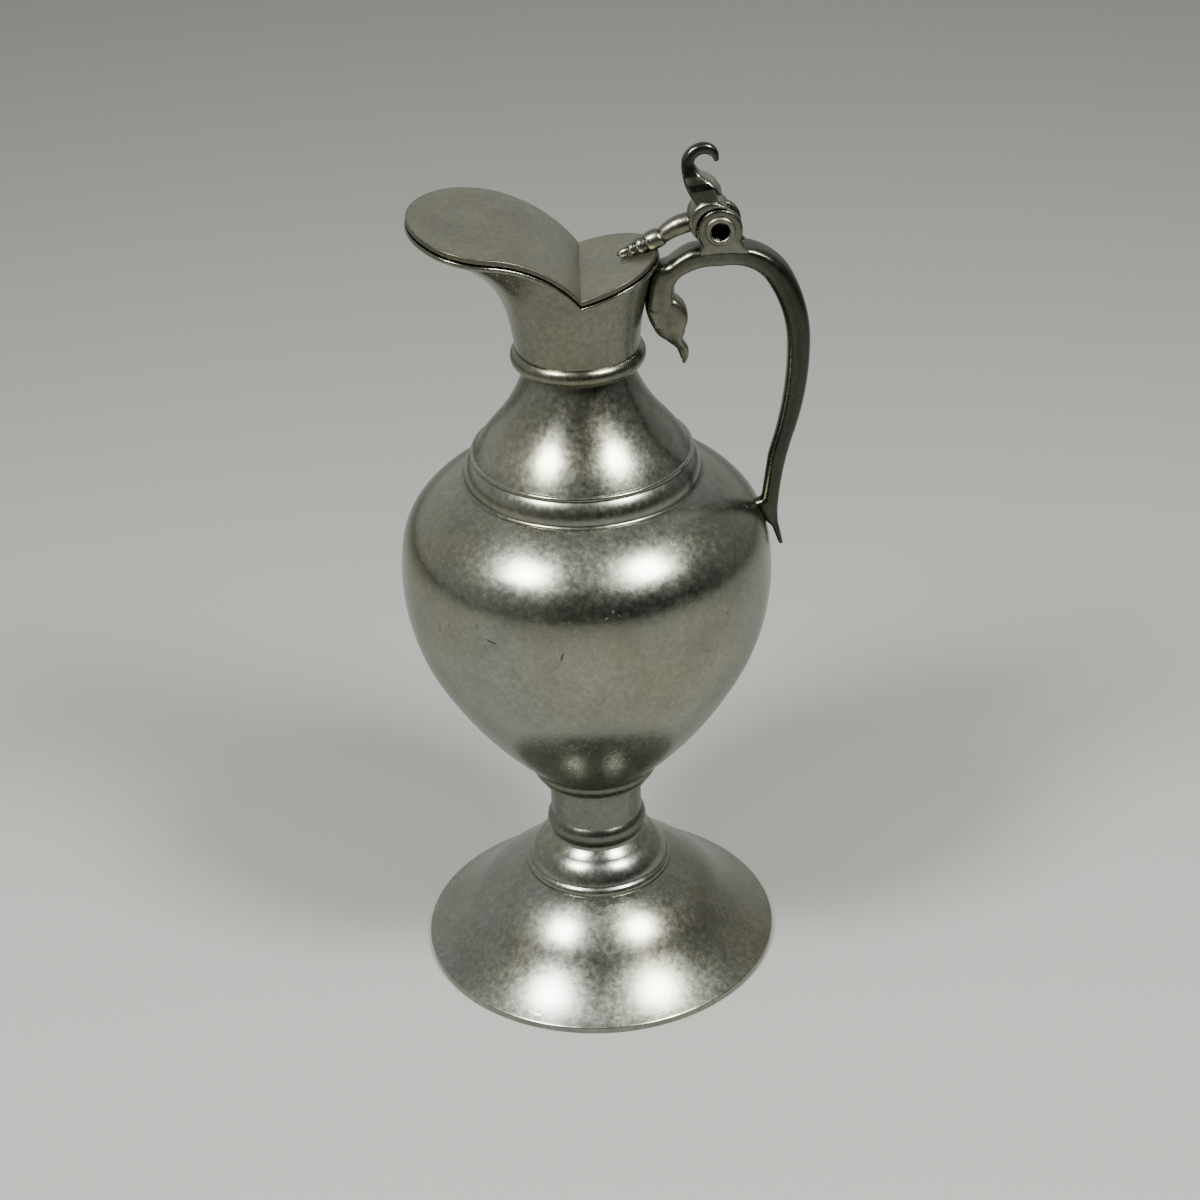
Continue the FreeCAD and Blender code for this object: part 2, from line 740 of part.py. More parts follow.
def mouth_seat_solid():
    """The mouth's outside as a solid, grown by the solder's thickness and carried up past the hinge."""
    under = value("lid_thickness + lid_gap + lip_thickness")
    gap, overhang = value("solder_gap"), value("lip_overhang")
    base = value(f"{MOUTH_BASE_RADIUS} + solder_gap")
    outside = [mouth_wire(share, overhang - gap, under, base) for share in FLARE_SHARES]
    lip = mouth_wire(1.0, -value("lip_margin + solder_gap"), under, base)
    top = value(f"{HINGE_Z} + cheek_radius")
    lid_edges = []
    for edge in lip.Edges:
        points = [FreeCAD.Vector(p.x, p.y, top) for p in edge.discretize(Number=2 * REAR_STEPS)]
        curve = Part.BSplineCurve()
        curve.interpolate(points)
        lid_edges.append(curve.toShape())
    lid_wire = Part.Wire(lid_edges)
    faces = skin(outside) + skin([outside[-1], lip], True) + skin([lip, lid_wire], True)
    faces += [Part.Face(outside[0]), Part.Face(lid_wire)]
    return closed_solid(faces)


def shaped(label, shape):
    feature = doc.addObject("Part::Feature", label)
    feature.Shape = shape
    return feature


# Lid: bent plate, cut to the mouth's plan
def make_lid():
    body = new_body("lid")
    lip_slope = f"((spout_rise - {BEND_RISE}) / (spout_reach - {BEND_REACH}))"
    rear_slope = "(rear_rise / (rear_reach - crease_set))"
    front_x = "-spout_reach - cut_overrun"
    front_z = f"{CREASE_LEVEL} + spout_rise + cut_overrun * {lip_slope}"
    rear_x, rear_z = "rear_reach + cut_overrun", f"{CREASE_LEVEL} + rear_rise + cut_overrun * {rear_slope}"
    bend_z = f"{CREASE_LEVEL} + {BEND_RISE}"
    side = new_sketch(body, "lid_side", "XZ_Plane")
    draw(side, [
        (front_x, front_z, None),
        (f"-{BEND_REACH}", bend_z, None),
        ("crease_set", CREASE_LEVEL, "tangent"),
        (rear_x, rear_z, None),
        (rear_x, f"{rear_z} - lid_thickness", None),
        ("crease_set", f"{CREASE_LEVEL} - lid_thickness", None),
        (f"-{BEND_REACH}", f"{bend_z} - lid_thickness", "tangent_next"),
        (front_x, f"{front_z} - lid_thickness", None),
    ])
    pad(body, side, "2 * (spout_width + cut_overrun)")
    plan = new_sketch(body, "lid_plan", "XY_Plane")
    draw(plan, [
        ("crease_set", "crease_width", ("rise", "-(rear_reach - crease_set)")),
        (f"-{LOBE_REACH}", "spout_width", None),
        (f"-{TIP_TURN_REACH}", TIP_TURN_WIDTH, "tangent_next"),
        (f"-{TIP_TURN_REACH}", f"-{TIP_TURN_WIDTH}", ("rise", f"-(spout_reach - {TIP_TURN_REACH})")),
        (f"-{LOBE_REACH}", "-spout_width", "tangent"),
        ("crease_set", "-crease_width", None),
    ])
    far_x = "(spout_reach + 2 * cut_overrun)"
    far_y = "(spout_width + 2 * cut_overrun)"
    draw(plan, [
        (f"-{far_x}", f"-{far_y}", None),
        (far_x, f"-{far_y}", None),
        (far_x, far_y, None),
        (f"-{far_x}", far_y, None),
    ])
    pocket(body, plan)
    return body


# Handle: cast strap drawn from the side, narrower towards its tail. Shares along the strap run from the
# hinge's level down to the grip's; shares of its arch run out from the hinge to the handle's back, and
# shares of its fall from the bowl's side out to the handle's back.
ARCH_OUTER_SHARES = (0.796, 0.169)
WIDEST_SHARE = 0.402
FALL_OUTER_SHARES = (0.60, 0.732)
FALL_INNER_SHARES = (-0.07, 0.811)
WIDEST_INNER_SHARE = 0.423
ARCH_INNER_SHARES = (0.471, 0.172)
GRIP_INNER_SHARE = -0.245
# Shares at the strap's root run from the hinge in to the rim, and from the hinge's land down to the leaf
LEFT_ARCH_SHARES = (0.71, 0.53)
LEAF_SEAT_SHARES = (0.755, 0.876)
SEAT_INNER_SHARE = 1.09
ROOT_OUTER_SHARES = (0.92, 0.32)
ROOT_INNER_SHARE = 0.40
# The tail's blunt tip is a little wider than the strap's rounded edge, which runs out on it
TAIL_TIP_SHARE = 1.15
TAIL_TIP = f"(handle_edge * {TAIL_TIP_SHARE})"
LAND_Z = f"({HINGE_Z} - cheek_foot)"
ROOT_Z = f"({HINGE_Z} - root_drop)"
INSIDE_MOUTH = "(rear_reach - root_sink)"


def strap_across(share):
    return between("bowl_radius", HANDLE_X, share)


def arch_across(share):
    return between(HINGE_X, HANDLE_X, share)


def strap_along(share):
    return between(HINGE_Z, GRIP_Z, share)


def root_across(share):
    return between(HINGE_X, "rear_reach", share)


def root_along(share):
    return between(LAND_Z, ROOT_Z, share)


LEAF_SEAT_OUTER = (root_across(LEAF_SEAT_SHARES[0]), root_along(LEAF_SEAT_SHARES[1]))
LEAF_SEAT_INNER = (INSIDE_MOUTH, root_along(SEAT_INNER_SHARE))


def make_handle_casting():
    body = new_body("handle_casting")
    inner_x = f"({HANDLE_X} - handle_depth)"
    tail_z = f"({GRIP_Z} - tail_length)"
    notch_z = f"({GRIP_Z} - grip_length)"
    inside_bowl = "(bowl_radius - cut_overrun)"
    side = new_sketch(body, "handle_side", "XZ_Plane")
    draw(side, [
        (f"{HINGE_X} + cheek_spread", LAND_Z, None),
        (arch_across(ARCH_OUTER_SHARES[0]), strap_along(ARCH_OUTER_SHARES[1]), "tangent_next"),
        (HANDLE_X, strap_along(WIDEST_SHARE), "upright_end"),
        (strap_across(FALL_OUTER_SHARES[0]), strap_along(FALL_OUTER_SHARES[1]), "upright"),
        (GRIP_X, GRIP_Z, "tangent"),
        (f"{GRIP_X} + tail_curl", tail_z, "tangent"),
        (f"{GRIP_X} + tail_curl - {TAIL_TIP}", tail_z, ("rise", f"{TAIL_TIP} / 4")),
        ("bowl_radius", notch_z, ("rise", "tail_curl / 2")),
        (inside_bowl, notch_z, None),
        (inside_bowl, f"{GRIP_Z} + grip_rise", None),
        (strap_across(GRIP_INNER_SHARE), f"{GRIP_Z} + grip_rise", None),
        (strap_across(FALL_INNER_SHARES[0]), strap_along(FALL_INNER_SHARES[1]), None),
        (inner_x, strap_along(WIDEST_INNER_SHARE), "upright_end"),
        (arch_across(ARCH_INNER_SHARES[0]), strap_along(ARCH_INNER_SHARES[1]), "tangent"),
        (HINGE_X, f"{LAND_Z} - arch_depth", "tangent"),
        (root_across(LEFT_ARCH_SHARES[0]), root_along(LEFT_ARCH_SHARES[1]), "tangent"),
        (*LEAF_SEAT_OUTER, "tangent"),
        (*LEAF_SEAT_INNER, None),
        (INSIDE_MOUTH, root_along(ROOT_INNER_SHARE), None),
        (root_across(ROOT_OUTER_SHARES[0]), root_along(ROOT_OUTER_SHARES[1]), None),
        (f"{HINGE_X} - cheek_spread", LAND_Z, ("rise", "root_bulge")),
    ])
    pad(body, side, HINGE_WIDTH)
    front = new_sketch(body, "handle_taper", "YZ_Plane")
    outside = f"({HINGE_WIDTH} / 2 + cut_overrun)"
    for sign in ("", "-"):
        draw(front, [
            (f"{sign}{outside}", LAND_Z, None),
            (f"{sign}({HINGE_WIDTH} / 2)", LAND_Z, None),
            (f"{sign}(tail_width / 2)", tail_z, None),
            (f"{sign}(tail_width / 2)", f"{tail_z} - cut_overrun", None),
            (f"{sign}{outside}", f"{tail_z} - cut_overrun", None),
        ])
    tapered = pocket(body, front)
    land, rim, grip = value(LAND_Z), value("rear_reach"), value(f"{GRIP_Z} + grip_rise")
    tight = value("handle_edge") / 2

    def shows(edge):
        """Edges along the strap, apart from the hinge's land, the tail's inside and what the vessel hides."""
        first, last = edge.Vertexes[0].Point, edge.Vertexes[-1].Point
        middle = edge.CenterOfMass
        on_land = min(first.z, last.z) > land - tight
        hidden = middle.x < rim + tight or middle.z < grip + tight
        return first.y * last.y > 0 and not on_land and not hidden

    round_edges(body, tapered, "handle_edge", shows)
    return body


def cut(label, base, tool):
    feature = doc.addObject("Part::Cut", label)
    feature.Base = base
    feature.Tool = tool
    return feature


def make_handle():
    """The casting, fitted to the shoulder below and to the mouth above."""
    fitted_below = cut("handle_fitted_below", make_handle_casting(), make_shoulder_seat())
    return cut("handle", fitted_below, shaped("mouth_seat", mouth_seat_solid()))


# Leaf: bud-shaped drop under the strap's root. Shares run outwards and upwards from the leaf's tip, of its
# reach and its length.
LEAF_INNER_SHARES = [(-1.0, 0.72), (-0.87, 0.507), (-0.566, 0.351)]
LEAF_OUTER_SHARES = [(0.175, 0.19), (0.07, 0.489)]
LEAF_INNER_SEAT_SHARE = 0.68


def make_handle_leaf():
    body = new_body("handle_leaf")
    tip_x = f"({LEAF_SEAT_OUTER[0]} + leaf_lean)"
    tip_z = f"({LEAF_SEAT_OUTER[1]} - leaf_length)"

    def place(shares):
        return f"{tip_x} + leaf_reach * {shares[0]}", f"{tip_z} + leaf_length * {shares[1]}"

    inner = [between(LEAF_SEAT_OUTER[axis], LEAF_SEAT_INNER[axis], LEAF_INNER_SEAT_SHARE) for axis in (0, 1)]
    side = new_sketch(body, "leaf_side", "XZ_Plane")
    draw(side, [
        (*LEAF_SEAT_OUTER, ("rise", "-2 * leaf_bulge")),
        (*inner, None),
        (*place(LEAF_INNER_SHARES[0]), None),
        (*place(LEAF_INNER_SHARES[1]), "tangent"),
        (*place(LEAF_INNER_SHARES[2]), "tangent"),
        (f"{tip_x} - leaf_tip_width / 2", tip_z, "tangent_next"),
        (f"{tip_x} + leaf_tip_width / 2", tip_z, ("rise", "-leaf_tip_width / 4")),
        (*place(LEAF_OUTER_SHARES[0]), "tangent"),
        (*place(LEAF_OUTER_SHARES[1]), "tangent"),
    ])
    bud = pad(body, side, "leaf_width")
    outer_corner = FreeCAD.Vector(*(value(text) for text in LEAF_SEAT_OUTER))
    inner_corner = FreeCAD.Vector(*(value(text) for text in inner))
    seat = outer_corner - inner_corner

    def shows(edge):
        """Edges of the two sides, apart from the seat under the handle."""
        first, last = edge.Vertexes[0].Point, edge.Vertexes[-1].Point
        run = FreeCAD.Vector(last.x - first.x, last.z - first.z, 0)
        on_seat = run.cross(seat).Length < value("solder_gap") * seat.Length
        return first.y * last.y > 0 and not on_seat

    round_edges(body, bud, "leaf_edge", shows)
    return body


# Hinge: two eyes on the handle's land, a tubular pin, and the lid's eye between them
CHEEK_FOOT_SHARES = (0.94, 0.342)
CHEEK_GAP = "(tongue_width / 2 + side_gap)"


def make_cheek(label, start, dish_start, reverse_dish):
    body = new_body(label)
    waist_x = f"cheek_radius * {CHEEK_FOOT_SHARES[0]}"
    waist_z = f"{HINGE_Z} - cheek_radius * {CHEEK_FOOT_SHARES[1]}"
    side = new_sketch(body, label + "_side", "XZ_Plane", ("0", "0", start))
    draw(side, [
        (f"{HINGE_X} + cheek_base", LAND_Z, None),
        (f"{HINGE_X} + {waist_x}", waist_z, "tangent_next"),
        (f"{HINGE_X} - {waist_x}", waist_z, ("rise", f"-cheek_radius * (1 + {CHEEK_FOOT_SHARES[1]})")),
        (f"{HINGE_X} - cheek_base", LAND_Z, "tangent"),
    ])
    pad(body, side, "cheek_thickness", symmetric=False)
    bore = new_sketch(body, label + "_bore", "XZ_Plane", ("0", "0", start))
    draw_circle(bore, HINGE_X, HINGE_Z, "pin_radius + pin_clearance")
    pocket(body, bore)
    dish = new_sketch(body, label + "_dish", "XZ_Plane", ("0", "0", dish_start))
    draw_circle(dish, HINGE_X, HINGE_Z, "dish_radius")
    pocket(body, dish, "dish_depth").Reversed = reverse_dish
    return body


def make_hinge_pin():
    body = turned("hinge_pin", [
        ("0", f"{HINGE_WIDTH} / 2 - pin_bore_depth", None),
        ("0", f"pin_bore_depth - {HINGE_WIDTH} / 2", None),
        ("pin_bore_radius", f"pin_bore_depth - {HINGE_WIDTH} / 2", None),
        ("pin_bore_radius", f"-pin_rim_stand - {HINGE_WIDTH} / 2", None),
        ("pin_rim_radius", f"dish_depth - {HINGE_WIDTH} / 2", ("rise", "-pin_rim_round")),
        ("pin_radius", f"dish_depth - {HINGE_WIDTH} / 2", None),
        ("pin_radius", f"{HINGE_WIDTH} / 2 - dish_depth", None),
        ("pin_rim_radius", f"{HINGE_WIDTH} / 2 - dish_depth", None),
        ("pin_bore_radius", f"{HINGE_WIDTH} / 2 + pin_rim_stand", ("rise", "-pin_rim_round")),
        ("pin_bore_radius", f"{HINGE_WIDTH} / 2 - pin_bore_depth", None),
    ])
    body.Placement = FreeCAD.Placement(FreeCAD.Vector(), FreeCAD.Rotation(FreeCAD.Vector(1, 0, 0), -90))
    body.setExpression("Placement.Base.x", bound(HINGE_X))
    body.setExpression("Placement.Base.z", bound(HINGE_Z))
    return body


def make_lid_knuckle():
    body = new_body("lid_knuckle")
    lobe_x, lobe_z = f"{HINGE_X} - lobe_back", f"{HINGE_Z} + lobe_rise"
    arm_x, thumb_z = f"({HINGE_X} - arm_seat_back)", f"({HINGE_Z} + thumb_seat_rise)"
    half_width = f"({HINGE_WIDTH} / 2)"
    barrel = new_sketch(body, "knuckle_barrel", "XY_Plane", (lobe_x, "0", lobe_z))
    draw(barrel, [
        ("0", f"-{half_width}", None),
        ("lobe_radius - lobe_edge", f"-{half_width}", None),
        ("lobe_radius", f"lobe_edge - {half_width}", "tangent"),
        ("lobe_radius", f"{half_width} - lobe_edge", None),
        ("lobe_radius - lobe_edge", half_width, "tangent"),
        ("0", half_width, None),
    ])
    revolve(body, barrel)
    recess = new_sketch(body, "knuckle_recess", "XZ_Plane")
    draw_circle(recess, HINGE_X, HINGE_Z, "cheek_radius + turning_gap")
    pocket(body, recess)
    web = new_sketch(body, "knuckle_web", "XZ_Plane")
    draw_circle(web, lobe_x, lobe_z, "lobe_radius - lobe_edge")
    pad(body, web, "tongue_width")
    tongue = new_sketch(body, "knuckle_tongue", "XZ_Plane")
    draw_circle(tongue, HINGE_X, HINGE_Z, "cheek_foot - turning_gap")
    pad(body, tongue, "tongue_width")
    flats = new_sketch(body, "knuckle_flats", "XZ_Plane")
    draw(flats, [
        (f"{arm_x} - cut_overrun", f"{HINGE_Z} - cut_overrun", None),
        (arm_x, f"{HINGE_Z} - cut_overrun", None),
        (arm_x, thumb_z, None),
        (f"{HINGE_X} + cut_overrun", thumb_z, None),
        (f"{HINGE_X} + cut_overrun", f"{thumb_z} + cut_overrun", None),
        (f"{arm_x} - cut_overrun", f"{thumb_z} + cut_overrun", None),
    ])
    pocket(body, flats)
    bore = new_sketch(body, "knuckle_bore", "XZ_Plane")
    draw_circle(bore, HINGE_X, HINGE_Z, "pin_radius + pin_clearance")
    pocket(body, bore)
    return body


# Lid arm: elbow from the hinge's eye, then a string of turned beads that lies on the lid. Bead places
# are shares of the string's length and bead radii shares of the arm's.
BEAD_SPANS_SHARES = [(0.02, 0.34, 0.88), (0.37, 0.62, 0.64), (0.66, 0.85, 0.44), (0.89, 0.97, 0.3)]
REAR_SLOPE = "(rear_rise / (rear_reach - crease_set))"
BEADS_X = "(rear_reach + bead_root_reach)"
BEADS_Z = f"({CREASE_LEVEL} + {REAR_SLOPE} * ({BEADS_X} - crease_set) + bead_root_height)"
BEADS_TILT = f"atan({REAR_SLOPE}) + atan((bead_root_height - bead_tip_height) / bead_length)"


def make_lid_arm():
    body = new_body("lid_arm")
    root_x, root_z = f"({HINGE_X} - arm_seat_back)", f"({HINGE_Z} + arm_rise)"
    ring = new_sketch(body, "arm_ring", "YZ_Plane", ("0", "0", root_x))
    draw_circle(ring, "0", root_z, "arm_radius")
    path = new_sketch(body, "arm_path", "XZ_Plane")
    start = FreeCAD.Vector(value(root_x), value(root_z), 0)
    end = FreeCAD.Vector(value(BEADS_X), value(BEADS_Z), 0)
    centre = arc_centre(start, end, FreeCAD.Vector(-1, 0, 0))
    circle = Part.Circle(centre, FreeCAD.Vector(0, 0, 1), (start - centre).Length)
    turn = [math.atan2(point.y - centre.y, point.x - centre.x) for point in (start, end)]
    number = path.addGeometry(Part.ArcOfCircle(circle, turn[0], turn[1]))
    for point, x, z in ((1, root_x, root_z), (2, BEADS_X, BEADS_Z)):
        hold(path, "DistanceX", number, point, x)
        hold(path, "DistanceY", number, point, z)
    hold(path, "DistanceX", number, 3, root_x)
    elbow = body.newObject("PartDesign::AdditivePipe", "arm_elbow")
    elbow.Profile = ring
    elbow.Spine = (path, ["Edge1"])
    doc.recompute()

    beads = new_sketch(body, "arm_beads", "XZ_Plane", (BEADS_X, BEADS_Z, "0"))
    beads.setExpression("AttachmentOffset.Rotation.Angle", bound(BEADS_TILT))
    doc.recompute()
    steps = [("0", "0", None)]
    for start_share, end_share, radius_share in BEAD_SPANS_SHARES:
        steps.append((f"-bead_length * {start_share}", f"arm_radius * {radius_share}", None))
        steps.append((f"-bead_length * {end_share}", f"arm_radius * {radius_share}", ("rise", "-bead_bulge")))
    steps.append(("-bead_length", "0", None))
    draw(beads, steps)
    revolve(body, beads, "H_Axis")
    sole = new_sketch(body, "arm_sole", "XZ_Plane")
    low_x, high_x = "crease_set", f"({BEADS_X} + cut_overrun)"
    high_z = f"({CREASE_LEVEL} + {REAR_SLOPE} * ({high_x} - crease_set))"
    draw(sole, [
        (low_x, CREASE_LEVEL, None),
        (low_x, f"{CREASE_LEVEL} - cut_overrun", None),
        (high_x, f"{high_z} - cut_overrun", None),
        (high_x, high_z, None),
    ])
    pocket(body, sole)
    return body


# Thumbpiece: scroll that curls back over the hinge, broad where the thumb presses and slim at its crown.
# Shares run from the hinge's axis, of the scroll's spread, and up from its seat, of its height.
THUMB_SHARES = {
    "heel": (-0.605, 0.0),
    "back": (-0.991, 0.628),
    "crown": (-0.404, 1.0),
    "nose": (0.009, 0.686),
    "nose_under": (-0.105, 0.628),
    "hook": (-0.649, 0.601),
    "waist": (-0.386, 0.367),
    "belly": (0.053, 0.122),
    "toe": (0.026, 0.0),
}
# The scroll's rounded edges stay within a share of its spread and of its height, where its nose is thin
NOSE_SHARES = (0.062, 0.0435)


def make_thumbpiece():
    body = new_body("thumbpiece")
    seat = f"({HINGE_Z} + thumb_seat_rise)"

    def place(name):
        across, up = THUMB_SHARES[name]
        return f"{HINGE_X} + thumb_spread * {across}", f"{seat} + thumb_height * {up}"

    side = new_sketch(body, "thumb_side", "XZ_Plane")
    draw(side, [
        (*place("toe"), None),
        (*place("belly"), None),
        (*place("waist"), ("rise", "-thumb_belly")),
        (*place("hook"), ("rise", "thumb_belly / 3")),
        (*place("nose_under"), ("rise", "thumb_hook")),
        (*place("nose"), ("rise", "-thumb_belly / 3")),
        (*place("crown"), "tangent_next"),
        (*place("back"), "upright_end"),
        (*place("heel"), "upright"),
    ])
    pad(body, side, "thumb_width")
    front = new_sketch(body, "thumb_taper", "YZ_Plane")
    above, outside = f"{seat} + thumb_height + thumb_edge", "(thumb_width / 2 + cut_overrun)"
    above_width = between("thumb_width", "thumb_crown_width", "1 + thumb_edge / thumb_height")
    for sign in ("", "-"):
        draw(front, [
            (f"{sign}{outside}", seat, None),
            (f"{sign}(thumb_width / 2)", seat, None),
            (f"{sign}({above_width} / 2)", above, None),
            (f"{sign}{outside}", above, None),
        ])
    scroll = pocket(body, front)
    seat_level = value(seat) + value("solder_gap")

    def shows(edge):
        first, last = edge.Vertexes[0].Point, edge.Vertexes[-1].Point
        return first.y * last.y > 0 and max(first.z, last.z) > seat_level

    edge_limit = f"thumb_spread * {NOSE_SHARES[0]}; thumb_height * {NOSE_SHARES[1]}"
    round_edges(body, scroll, f"min(thumb_edge; {edge_limit})", shows)
    return body


fill_sheet()
subparts = [make_foot(), make_foot_cap(), *make_stem(), make_bowl_socket()]
subparts += [make_lower_bowl(), make_upper_bowl()]
subparts += [make_shoulder_ring(), make_neck(), make_neck_bead(), shaped("mouth", mouth_solid())]
subparts += [make_handle(), make_handle_leaf()]
subparts += [make_cheek("hinge_cheek_front", CHEEK_GAP, f"{HINGE_WIDTH} / 2", False)]
subparts += [make_cheek("hinge_cheek_rear", f"-{HINGE_WIDTH} / 2", f"-{HINGE_WIDTH} / 2", True)]
subparts += [make_hinge_pin(), make_lid(), make_lid_arm(), make_lid_knuckle(), make_thumbpiece()]
doc.recompute()

for item in doc.Objects:
    if "Invalid" in item.State or "Error" in item.State:
        raise RuntimeError(f"{item.Label}: {item.State}")
os.makedirs("parts", exist_ok=True)
for part in subparts:
    if part.Shape.isNull() or not part.Shape.isValid() or len(part.Shape.Solids) != 1:
        raise RuntimeError(f"{part.Label} is not one valid solid")
    part.Shape.exportStep(f"parts/{part.Label}.step")
    print(part.Label, round(part.Shape.Volume))
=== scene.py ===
# %% [markdown]
# A lidded pewter pitcher. The body is a stack of turned sections, soldered one on another; the mouth is a
# cup drawn out to a spout; handle, hinge, arm and thumbpiece are small castings. Every visible skin here
# is worked out as a grid of points with numpy, in millimetres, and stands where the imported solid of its
# name is.

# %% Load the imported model
import math

import bmesh
import bpy
import numpy as np
from mathutils import Matrix


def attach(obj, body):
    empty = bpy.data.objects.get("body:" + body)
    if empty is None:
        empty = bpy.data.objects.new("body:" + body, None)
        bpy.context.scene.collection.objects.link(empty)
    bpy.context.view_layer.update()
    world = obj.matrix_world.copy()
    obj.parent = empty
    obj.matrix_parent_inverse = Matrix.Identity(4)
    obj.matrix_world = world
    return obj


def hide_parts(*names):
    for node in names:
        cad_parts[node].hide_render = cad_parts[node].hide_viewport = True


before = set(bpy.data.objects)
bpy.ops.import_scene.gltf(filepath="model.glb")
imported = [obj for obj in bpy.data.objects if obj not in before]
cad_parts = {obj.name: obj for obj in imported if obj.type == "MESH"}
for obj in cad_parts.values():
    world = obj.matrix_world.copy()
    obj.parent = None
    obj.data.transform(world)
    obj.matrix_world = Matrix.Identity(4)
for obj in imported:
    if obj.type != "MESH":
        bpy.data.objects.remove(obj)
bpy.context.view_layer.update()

# %% [markdown]
# The camera stands about a metre from the pitcher, looks down by some thirty degrees and leans a little
# to one side. These angles follow from the ellipses that the foot, the bowl and the collar show in the
# photograph. A camera could be aimed with a constraint; its own axes are written here instead, so nothing
# moves it later.

# %% Camera
LOOK_DOWN, LOOK_ASIDE, LEAN = (math.radians(angle) for angle in (30.76, 0.29, -2.20))
CAMERA_PLACE = (0.0, -0.7678, 0.5894)
FOCAL_LENGTH, SENSOR_WIDTH = 81.87, 36.0

level = math.cos(LOOK_DOWN)
forward = np.array([math.sin(LOOK_ASIDE) * level, math.cos(LOOK_ASIDE) * level, -math.sin(LOOK_DOWN)])
level_right = np.array([math.cos(LOOK_ASIDE), -math.sin(LOOK_ASIDE), 0.0])
level_up = np.cross(level_right, forward)
right = math.cos(LEAN) * level_right + math.sin(LEAN) * level_up
up = math.cos(LEAN) * level_up - math.sin(LEAN) * level_right
lens = bpy.data.cameras.new("photo_camera")
lens.sensor_width = SENSOR_WIDTH
lens.lens = FOCAL_LENGTH
camera = bpy.data.objects.new("photo_camera", lens)
turn = Matrix([[right[i], up[i], -forward[i]] for i in range(3)]).to_4x4()
camera.matrix_world = Matrix.Translation(CAMERA_PLACE) @ turn
bpy.context.collection.objects.link(camera)
bpy.context.scene.camera = camera
print("camera lens", lens.lens, "mm")

# %% [markdown]
# Outlines come first. A turner's profile is made of straight runs and arcs, so an outline is written as
# corners with a third number: how far the middle of the edge that ends there stands to the left of its
# straight chord. Blender's curves could hold such a profile; arrays are easier to measure, round and
# space out by rule.

# %% Outlines from corners
def trace(corners, step=0.12):
    """Points along an outline. On an edge of half length h that stands s off its chord, the arc's half
    angle is twice the arctangent of s / h; its points swing through that angle either side of the
    middle."""
    corners = np.array([(*corner, 0.0)[:3] for corner in corners])
    runs = []
    for start, end in zip(corners[:-1], corners[1:]):
        chord = end[:2] - start[:2]
        half = np.hypot(*chord) / 2
        share = np.linspace(0, 1, max(4, int(2 * half / step)), endpoint=False)
        angle = 2 * np.arctan(end[2] / half)
        along, across = share, np.zeros_like(share)
        if abs(angle) > 1e-6:
            swing = angle * (2 * share - 1)
            along = (1 + np.sin(swing) / np.sin(angle)) / 2
            across = (np.cos(swing) - np.cos(angle)) / np.sin(angle) / 2
        left = np.array([-chord[1], chord[0]])
        runs.append(start[:2] + along[:, None] * chord + across[:, None] * left)
    return np.vstack(runs + [corners[-1:, :2]])


def length_along(line):
    """Length of a line from its start to each of its points."""
    return np.concatenate([[0], np.cumsum(np.linalg.norm(np.diff(line, axis=0), axis=1))])


def even(line, count):
    """The same line with equal steps along its length."""
    length = length_along(line)
    place = np.linspace(0, length[-1], count)
    return np.stack([np.interp(place, length, column) for column in line.T], axis=1)


def bell_mean(line, extra, reach):
    """Each point replaced by a bell-weighted mean of its neighbours, with the reach counted in steps.
    Past its ends the line is carried on by its own half turn for some extra points, so the ends stay
    put."""
    weight = np.exp(-0.5 * (np.arange(-extra, extra + 1) / reach) ** 2)
    weight /= weight.sum()
    before = 2 * line[0] - line[extra:0:-1]
    after = 2 * line[-1] - line[-2:-extra - 2:-1]
    long_line = np.vstack([before, line, after])
    return np.stack([np.convolve(column, weight, "valid") for column in long_line.T], axis=1)


def soften(line, reach, step=0.06):
    """The line in equal steps, with its corners rounded over a reach in millimetres."""
    count = max(8, int(length_along(line)[-1] / step))
    extra = min(int(4 * reach / step) + 1, count - 1)
    return bell_mean(even(line, count), extra, reach / step)


def spread(line, count, turn_weight=5.0, blur=5):
    """Points along a line, closer together where it turns: equal steps of its length plus its turning
    times a weight in millimetres. Returns them with the line's bend there, which is half its turning in
    radians over a millimetre, averaged over a few points and held between -1 and 1: left turns are
    ridges, right turns grooves."""
    step = np.diff(line, axis=0)
    size = np.linalg.norm(step, axis=1)
    turning = np.diff(np.unwrap(np.arctan2(step[:, 1], step[:, 0])))
    window = np.ones(2 * blur + 1) / (2 * blur + 1)
    bend = np.convolve(np.pad(turning / np.maximum(size[1:], 1e-6), blur + 1, mode="edge"), window, "valid")
    bend = np.clip(bend[:len(line)] * 0.5, -1, 1)
    measure = np.concatenate([[0], np.cumsum(size + turn_weight * np.concatenate([[0], np.abs(turning)]))])
    place = np.linspace(0, measure[-1], count)
    found = np.stack([np.interp(place, measure, column) for column in (*line.T, bend)], axis=1)
    return found[:, :2], found[:, 2]


print("a softened square corner:", soften(trace([(0, 0), (1, 0), (1, 1)]), 0.2).round(2)[::8].tolist())

# %% [markdown]
# A skin is a grid of points. Neighbours in the grid make four-cornered faces; a grid can close on itself
# in one or both directions, and a whole row may shrink to a point to make a pole. Each point also carries
# how ridged or grooved the metal is there, which the finish uses for wear polish and painted highlights on
# ridges and for painted shade in grooves.

# %% Skins from grids
MM = 0.001
WELD = 2e-7
SHARP_EDGE = math.radians(38)


